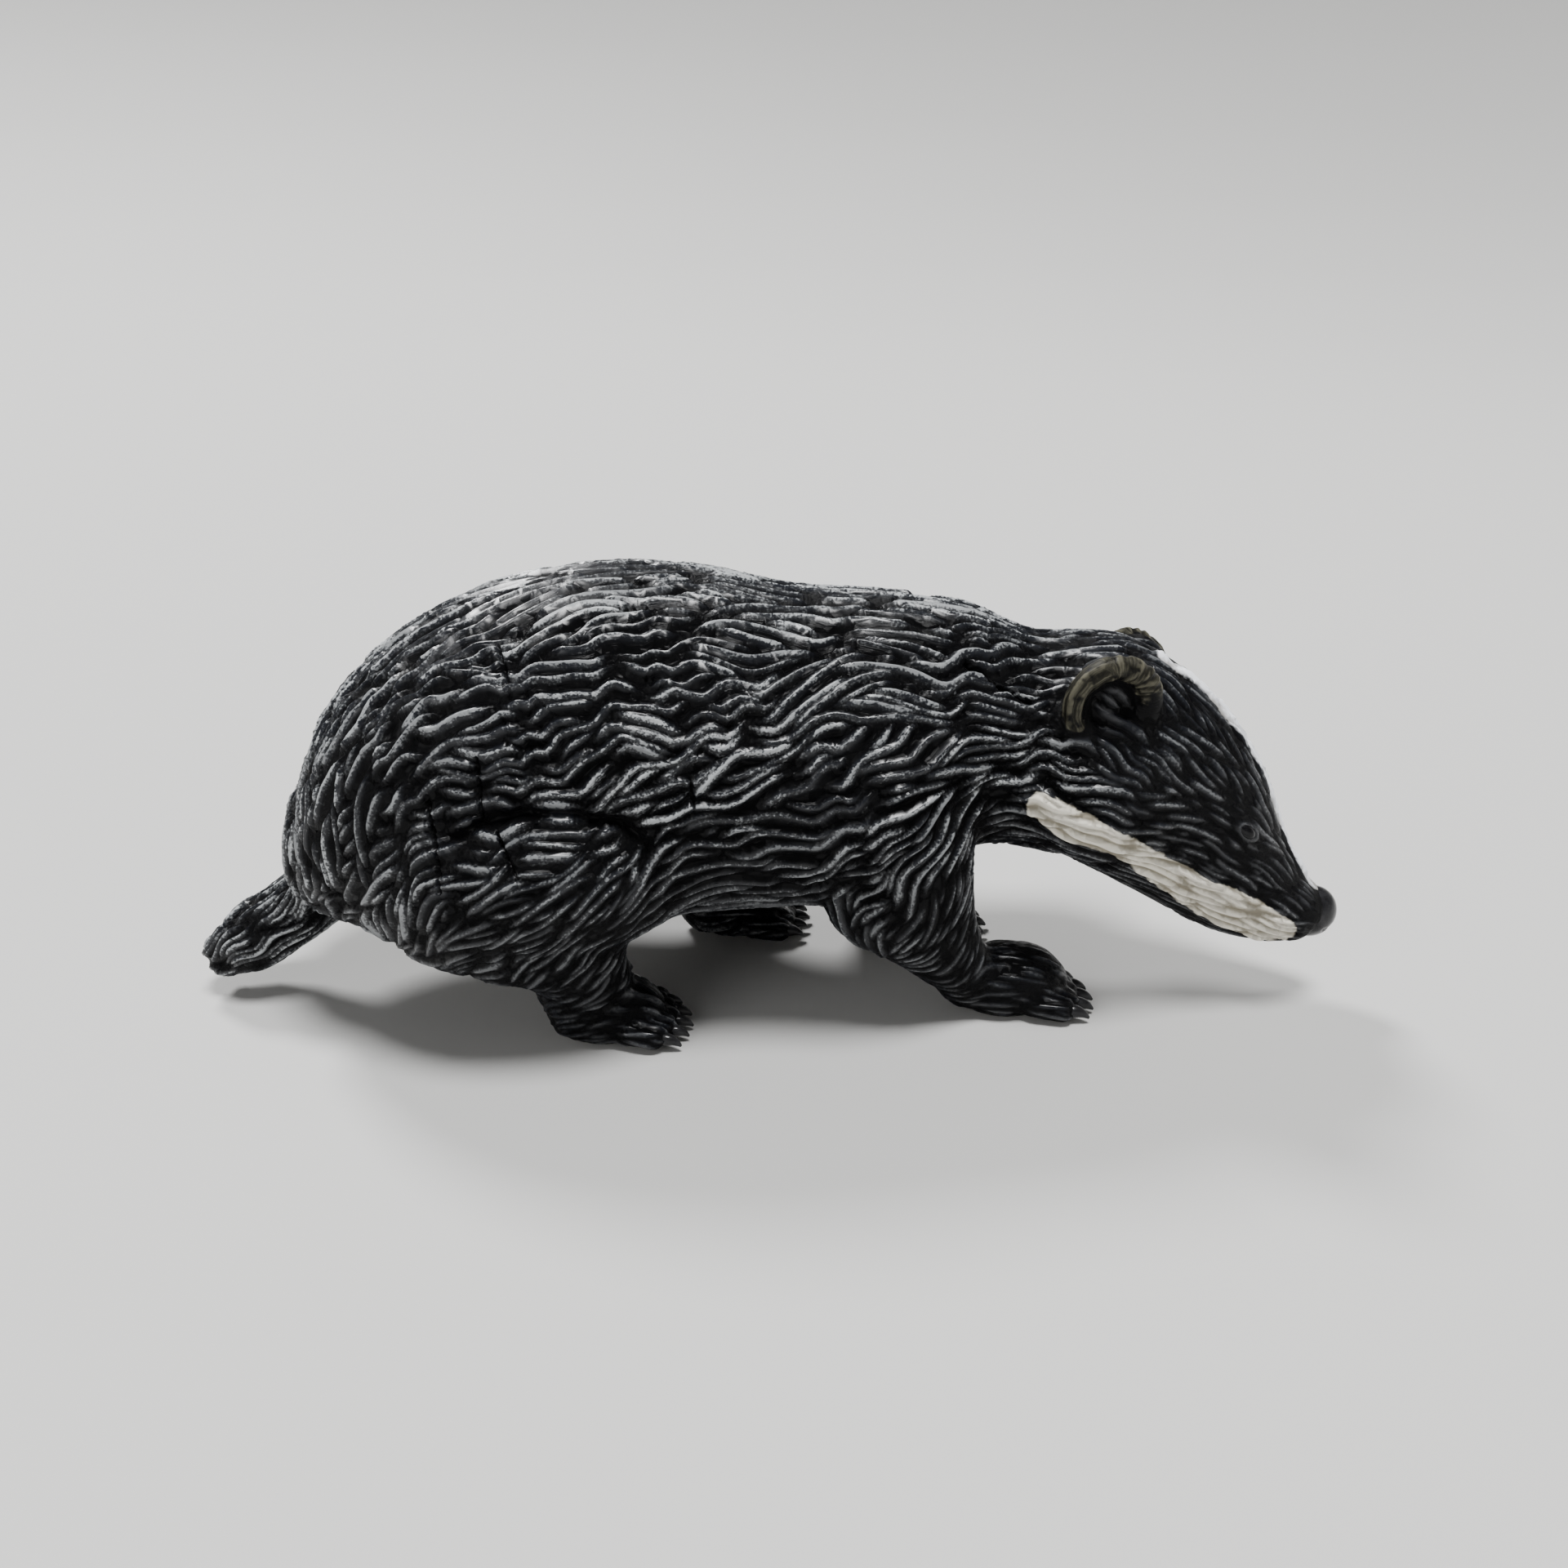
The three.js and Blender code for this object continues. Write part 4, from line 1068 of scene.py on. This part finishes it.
def sweep_form(sides=96, bends=16, flats=4):
    """A round floor that sweeps up into a wall on every side."""
    profile = [(SWEEP_FLAT * k / flats, 0) for k in range(1, flats + 1)]
    for k in range(1, bends + 1):
        turn = math.pi / 2 * k / bends
        profile.append((SWEEP_FLAT + SWEEP_BEND * math.sin(turn),
                        SWEEP_BEND * (1 - math.cos(turn))))
    profile.append((SWEEP_FLAT + SWEEP_BEND, SWEEP_BEND + SWEEP_WALL))
    points = [(0, 0, 0)]
    for radius, z in profile:
        points += [(radius * math.cos(a), radius * math.sin(a), z)
                   for a in np.linspace(0, 2 * math.pi, sides, endpoint=False)]
    faces = [(0, 1 + k, 1 + (k + 1) % sides) for k in range(sides)]
    for r in range(len(profile) - 1):
        a = 1 + r * sides
        faces += [(a + k, a + sides + k, a + sides + (k + 1) % sides, a + (k + 1) % sides)
                  for k in range(sides)]
    return points, faces


class BADGER_OT_stage(bpy.types.Operator):
    """Makes the camera, the floor and the soft studio light"""
    bl_idname = "badger.stage"
    bl_label = "Stage"

    def execute(self, context):
        look = context.scene.badger_stage
        lens = bpy.data.cameras.new("camera")
        lens.sensor_fit = "HORIZONTAL"
        lens.sensor_width = SENSOR_WIDTH
        lens.lens = FOCAL_LENGTH
        lens.clip_start = 0.01
        camera = bpy.data.objects.new("camera", lens)
        camera.location = CAMERA_AT
        camera.rotation_euler = (math.radians(90 - CAMERA_DOWN), 0, math.radians(CAMERA_YAW))
        context.scene.collection.objects.link(camera)
        context.scene.camera = camera

        floor = new_piece("floor", *sweep_form())
        material, shader, tree = new_paint("floor", 0.9, specular=0.15)
        cloud = object_place(tree).noise(3.0, 2.0)
        into(shader, "Base Color", cloud.mixed(opaque(look.floor_colour),
                                               opaque(look.floor_colour, 0.97)))
        floor.data.materials.append(material)

        for name, (place, size, power) in LIGHTS.items():
            light = bpy.data.lights.new(name, "AREA")
            light.shape = "DISK"
            light.size = size
            light.energy = look.key_power * power
            lamp = bpy.data.objects.new(name, light)
            lamp.location = place
            lamp.rotation_euler = (LIGHT_AIM - Vector(place)).to_track_quat("-Z", "Y").to_euler()
            context.scene.collection.objects.link(lamp)
        world = bpy.data.worlds.new("studio")
        world.use_nodes = True
        sky = world.node_tree.nodes["Background"]
        sky.inputs["Color"].default_value = (1, 1, 1, 1)
        sky.inputs["Strength"].default_value = look.world_strength
        context.scene.world = world
        return {"FINISHED"}


def fused_skin(piece, voxel):
    """Fuses the piece's forms into one smooth skin: returns its points and normals."""
    fuse = piece.modifiers.new("fuse", "REMESH")
    fuse.mode = "VOXEL"
    fuse.voxel_size = voxel
    mesh = applied(piece)
    points = to_drawing(mesh_points(mesh))
    edges = mesh_array(mesh.edges, "vertices", 2, np.int32)
    kept = (ear_rim_depth(points)[0] > EAR_KEPT) | (points[:, 2] < PAWS_KEPT)
    points = smoothed(points, edges, np.where(kept, 0.0, ROUGH_SMOOTH[0]), ROUGH_SMOOTH[1])
    points = smoothed(points, edges, np.full(len(points), FINE_SMOOTH[0]), FINE_SMOOTH[1])
    set_points(mesh, to_world(points))
    return points, mesh_array(mesh.vertex_normals, "vector", 3).astype(float)


def moulded_coat(points, normals, look):
    """The points with the coat moulded into them, and by name what the paint needs at each."""
    direction, zone = coat_field(points, normals)
    stripe, on_blaze = stripe_depth(points, normals)
    rim, rim_relief, rim_strand = ear_rim_depth(points)
    local = to_head(points)
    eye_gap = gap_to(local, [(EYE[0], side * EYE[1], EYE[2]) for side in (RIGHT, LEFT)], LID_SHAPE)
    ear_gap = gap_to(points, [at for at, *_ in EARS])
    nose_gap = gap_to(local, [NOSE])
    fold, split = fold_cut(points)
    open_skin = ((points[:, 2] > BARE["sole"]) & (rim < -BARE["rim"])
                 & (nose_gap > BARE["nose"]) & (eye_gap > BARE["eye"]) & (fold < BARE["fold"]))
    strokes = coat_strokes(points, normals, direction, zone, open_skin, look.seed)
    height, along, across, number = stamp(points, normals, stroke_table(strokes))

    calm = (fade(eye_gap, *CALM["eye"]) * fade(nose_gap, *CALM["nose"])
            * fade(-rim, *CALM["rim"]))
    on_stripe = fade(stripe, *STRIPE_EDGE)
    depth = zone[:, 1] * look.depth * calm
    depth += (STRIPE_COAT_DEPTH * calm - depth) * on_stripe
    height *= 1 - np.minimum(split / SPLIT_DEPTH, 1) * SPLIT_SHARE
    lift = -depth * (1 - height) - fold - split
    lift += on_stripe * look.stripe_raise / MM * fade(local[:, 0], *STRIPE_END)
    lid = np.exp(-((eye_gap - LID_RADIUS) / LID_WIDTH) ** 2)
    lift += LID_HEIGHT * lid
    lift += RIM_RELIEF * rim_relief * fade(rim, *RIM_EDGE)
    moved = points + normals * lift[:, None]
    moved[:, 2] = np.maximum(moved[:, 2], 0)

    tones = np.random.default_rng(look.seed).uniform(*TUFT_TONE, len(strokes) + 1)
    # the zones' grey is brushed paint, kept low on the belly and legs partly as painted shade
    brushed = (zone[:, 3] * calm * fade(ear_gap, *EAR_UNBRUSHED) * tones[number.astype(int)]
               * fade(-fold, *FOLD_UNBRUSHED))
    lit_lid = lid * (0.3 + 0.7 * fade(local[:, 2], EYE[2] - LID_LIT[0], EYE[2] + LID_LIT[1]))
    strand = np.where((rim > RIM_HAIR_FROM)[:, None], rim_strand,
                      np.stack([along, across, number * TUFTS_APART], 1))
    # the lids take grey as painted light and count as crests, so they also take the crests' painted
    # sky reflection
    return moved, {"crest": np.maximum(height, LID_CREST * lid),
                   "brushed": np.maximum(brushed, LID_PAINTED_LIGHT * lit_lid),
                   "rim": rim, "rim_relief": rim_relief, "stripe": stripe, "on_blaze": on_blaze,
                   "strand": strand}


def thinned_points(piece, faces):
    """Thins the piece to a number of triangles, none below the floor: returns its points."""
    thin = piece.modifiers.new("thin", "DECIMATE")
    thin.ratio = faces / sum(len(p.vertices) - 2 for p in piece.data.polygons)
    thin.use_collapse_triangulate = True
    mesh = applied(piece)
    mesh.shade_smooth()
    points = to_drawing(mesh_points(mesh))
    points[:, 2] = np.maximum(points[:, 2], 0)
    set_points(mesh, to_world(points))
    return points


class BADGER_OT_skin(bpy.types.Operator):
    """Fuses the forms into one skin and moulds and paints its coat"""
    bl_idname = "badger.skin"
    bl_label = "Skin and coat"

    def execute(self, context):
        look = context.scene.badger
        piece = new_piece("skin", *join_forms(all_forms()))
        points, normals = fused_skin(piece, look.voxel)
        moved, values = moulded_coat(points, normals, look)
        set_points(piece.data, to_world(moved))
        # each point that thinning leaves takes its values from the nearest one before it
        tree = tree_of(moved)
        source = [tree.find(p)[1] for p in thinned_points(piece, look.faces).tolist()]
        for name, value in values.items():
            kind, key = ("FLOAT", "value") if value.ndim == 1 else ("FLOAT_VECTOR", "vector")
            layer = piece.data.attributes.new(name, kind, "POINT")
            layer.data.foreach_set(key, value[source].astype(np.float32).ravel())

        piece.data.materials.clear()
        piece.data.materials.append(skin_paint(look))
        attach(piece, "root")
        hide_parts(*FLESH)
        return {"FINISHED"}


class BADGER_OT_eyes(bpy.types.Operator):
    """Makes the two small painted eyes"""
    bl_idname = "badger.eyes"
    bl_label = "Eyes"

    def execute(self, context):
        paint = gloss_paint("eye paint", (0.002, 0.002, 0.0025), 0.2, 2600.0, 0.00002, coat=0.2)
        for word, side in (("right", RIGHT), ("left", LEFT)):
            at = from_head((EYE[0], side * (EYE[1] + EYE_OUT), EYE[2]))
            piece = new_piece(f"eyeball_{word}", *ellipsoid_form(EYE_HALF, HEAD_AXES, at, 32, 20))
            piece.data.materials.append(paint)
            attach(piece, "root")
            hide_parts(f"eye_{word}")
        return {"FINISHED"}


class BADGER_OT_nose(bpy.types.Operator):
    """Makes the nose with its nostrils"""
    bl_idname = "badger.nose"
    bl_label = "Nose"

    def execute(self, context):
        points, faces = ellipsoid_form(NOSE_HALF, sides=96, stacks=64)
        for side in (RIGHT, LEFT):
            for along, out, up, squash, depth, inner, outer in NOSTRILS:
                gap = gap_to(points, [(along, side * out, up)], (1, 1, squash))
                points[:, 0] -= depth * (1 - fade(gap, inner, outer))
        front = fade(points[:, 0], 0.4, 1.2)
        depth, width = NOSE_GROOVE
        points[:, 0] -= (depth * front * np.exp(-(points[:, 1] / width) ** 2)
                         * fade(-points[:, 2], -0.6, 0.4))
        piece = new_piece("nose_pad", from_head(points + NOSE), faces)
        paint = gloss_paint("nose paint", (0.008, 0.008, 0.009), 0.2, 4200.0, 0.00004)
        piece.data.materials.append(paint)
        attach(piece, "root")
        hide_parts("nose")
        return {"FINISHED"}


def claw_tree(paint):
    """A node tree that sets a curved, tapered claw on each point, turned as its heading says."""
    tree = bpy.data.node_groups.new("claws", "GeometryNodeTree")
    tree.is_modifier = True
    face = tree.interface
    face.new_socket("Geometry", in_out="OUTPUT", socket_type="NodeSocketGeometry")
    face.new_socket("Roots", in_out="INPUT", socket_type="NodeSocketGeometry")
    for name, value, unit in CLAW_INPUTS:
        socket = face.new_socket(name, in_out="INPUT", socket_type="NodeSocketFloat")
        socket.default_value = value
        socket.subtype = unit
    seed = face.new_socket("Seed", in_out="INPUT", socket_type="NodeSocketInt")
    seed.default_value = 3
    group = tree.nodes.new("NodeGroupInput")

    def wired(kind, output=0, settings=None, **inputs):
        return Wire.made(tree, kind, output, settings, **inputs)

    def given(name):
        return Wire(tree, group.outputs[name])

    long, drop = given("Length"), given("Length") * given("Curl")
    middle = wired("ShaderNodeCombineXYZ", X=long * 0.55, Z=drop * 0.35)
    tip = wired("ShaderNodeCombineXYZ", X=long, Z=drop * -0.6)
    line = wired("GeometryNodeCurveQuadraticBezier", Resolution=9, Start=(0, 0, 0),
                 Middle=middle, End=tip)
    place = wired("GeometryNodeSplineParameter")
    taper = 1.0 - place.maths("POWER", place, 1.6) * 0.82
    line = wired("GeometryNodeSetCurveRadius", _0=line, _2=taper * given("Root radius"))
    claw = wired("GeometryNodeCurveToMesh", _0=line, Fill_Caps=True,
                 _1=wired("GeometryNodeCurvePrimitiveCircle", Resolution=10, Radius=1.0),
                 Scale=wired("GeometryNodeInputRadius"))
    turn = wired("GeometryNodeInputNamedAttribute", "Attribute",
                 {"data_type": "FLOAT_VECTOR"}, Name="turn")
    size = wired("FunctionNodeRandomValue", 1, {"data_type": "FLOAT"}, Seed=given("Seed"),
                 _2=1.0 - given("Variation"), _3=1.0 + given("Variation"))
    placed = wired("GeometryNodeInstanceOnPoints", Points=given("Roots"), Instance=claw,
                   Rotation=turn, Scale=size)
    whole = wired("GeometryNodeRealizeInstances", _0=placed)
    painted = wired("GeometryNodeSetMaterial", _0=whole, Material=paint)
    smooth = wired("GeometryNodeSetShadeSmooth", _0=painted)
    output = tree.nodes.new("NodeGroupOutput")
    tree.links.new(smooth.socket, output.inputs[0])
    return tree


class BADGER_OT_claws(bpy.types.Operator):
    """Sets a short claw on each toe"""
    bl_idname = "badger.claws"
    bl_label = "Claws"

    def execute(self, context):
        look = context.scene.badger
        roots, turns = [], []
        for paw in PAWS:
            for root, heading, reach in toe_places(paw):
                axes = toe_turn(heading)
                ahead = reach + CLAW_SET[0] * TOE_RADIUS
                roots.append(root + axes[:, 0] * ahead + (0, 0, CLAW_SET[1]))
                turns.append((0, math.radians(TOE_DROOP), heading))
        piece = new_piece("claws", np.array(roots), [])
        layer = piece.data.attributes.new("turn", "FLOAT_VECTOR", "POINT")
        layer.data.foreach_set("vector", np.array(turns, np.float32).ravel())
        paint = gloss_paint("claw paint", (0.011, 0.011, 0.012), 0.34, 3200.0, 0.00003)
        grow = piece.modifiers.new("grow", "NODES")
        grow.node_group = claw_tree(paint)
        sizes = {"Length": look.claw_length, "Root radius": look.claw_radius}
        for item in grow.node_group.interface.items_tree:
            if item.in_out == "INPUT" and item.name in sizes:
                grow[item.identifier] = sizes[item.name]
        mesh = applied(piece)
        if not mesh.polygons:
            raise RuntimeError("the claws came out empty")
        if not mesh.materials:
            mesh.materials.append(paint)
        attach(piece, "root")
        return {"FINISHED"}


class BADGER_PT_panel(bpy.types.Panel):
    """Lists the steps that make the figure"""
    bl_idname = "BADGER_PT_panel"
    bl_label = "Painted toy badger"
    bl_space_type = "VIEW_3D"
    bl_region_type = "UI"
    bl_category = "Badger"

    def draw(self, context):
        column = self.layout.column()
        for operator in PIECES:
            column.operator(operator.bl_idname)
        for name in BadgerLook.__annotations__:
            column.prop(context.scene.badger, name)
        for name in StageLook.__annotations__:
            column.prop(context.scene.badger_stage, name)


PIECES = (BADGER_OT_stage, BADGER_OT_skin, BADGER_OT_eyes, BADGER_OT_nose, BADGER_OT_claws)
CLASSES = (BadgerLook, StageLook, *PIECES, BADGER_PT_panel)


def register():
    for cls in CLASSES:
        bpy.utils.register_class(cls)
    bpy.types.Scene.badger = bpy.props.PointerProperty(type=BadgerLook)
    bpy.types.Scene.badger_stage = bpy.props.PointerProperty(type=StageLook)


def unregister():
    del bpy.types.Scene.badger
    del bpy.types.Scene.badger_stage
    for cls in reversed(CLASSES):
        bpy.utils.unregister_class(cls)


def main():
    register()
    for operator in PIECES:
        group, name = operator.bl_idname.split(".")
        getattr(getattr(bpy.ops, group), name)()


if __name__ == "__main__":
    main()
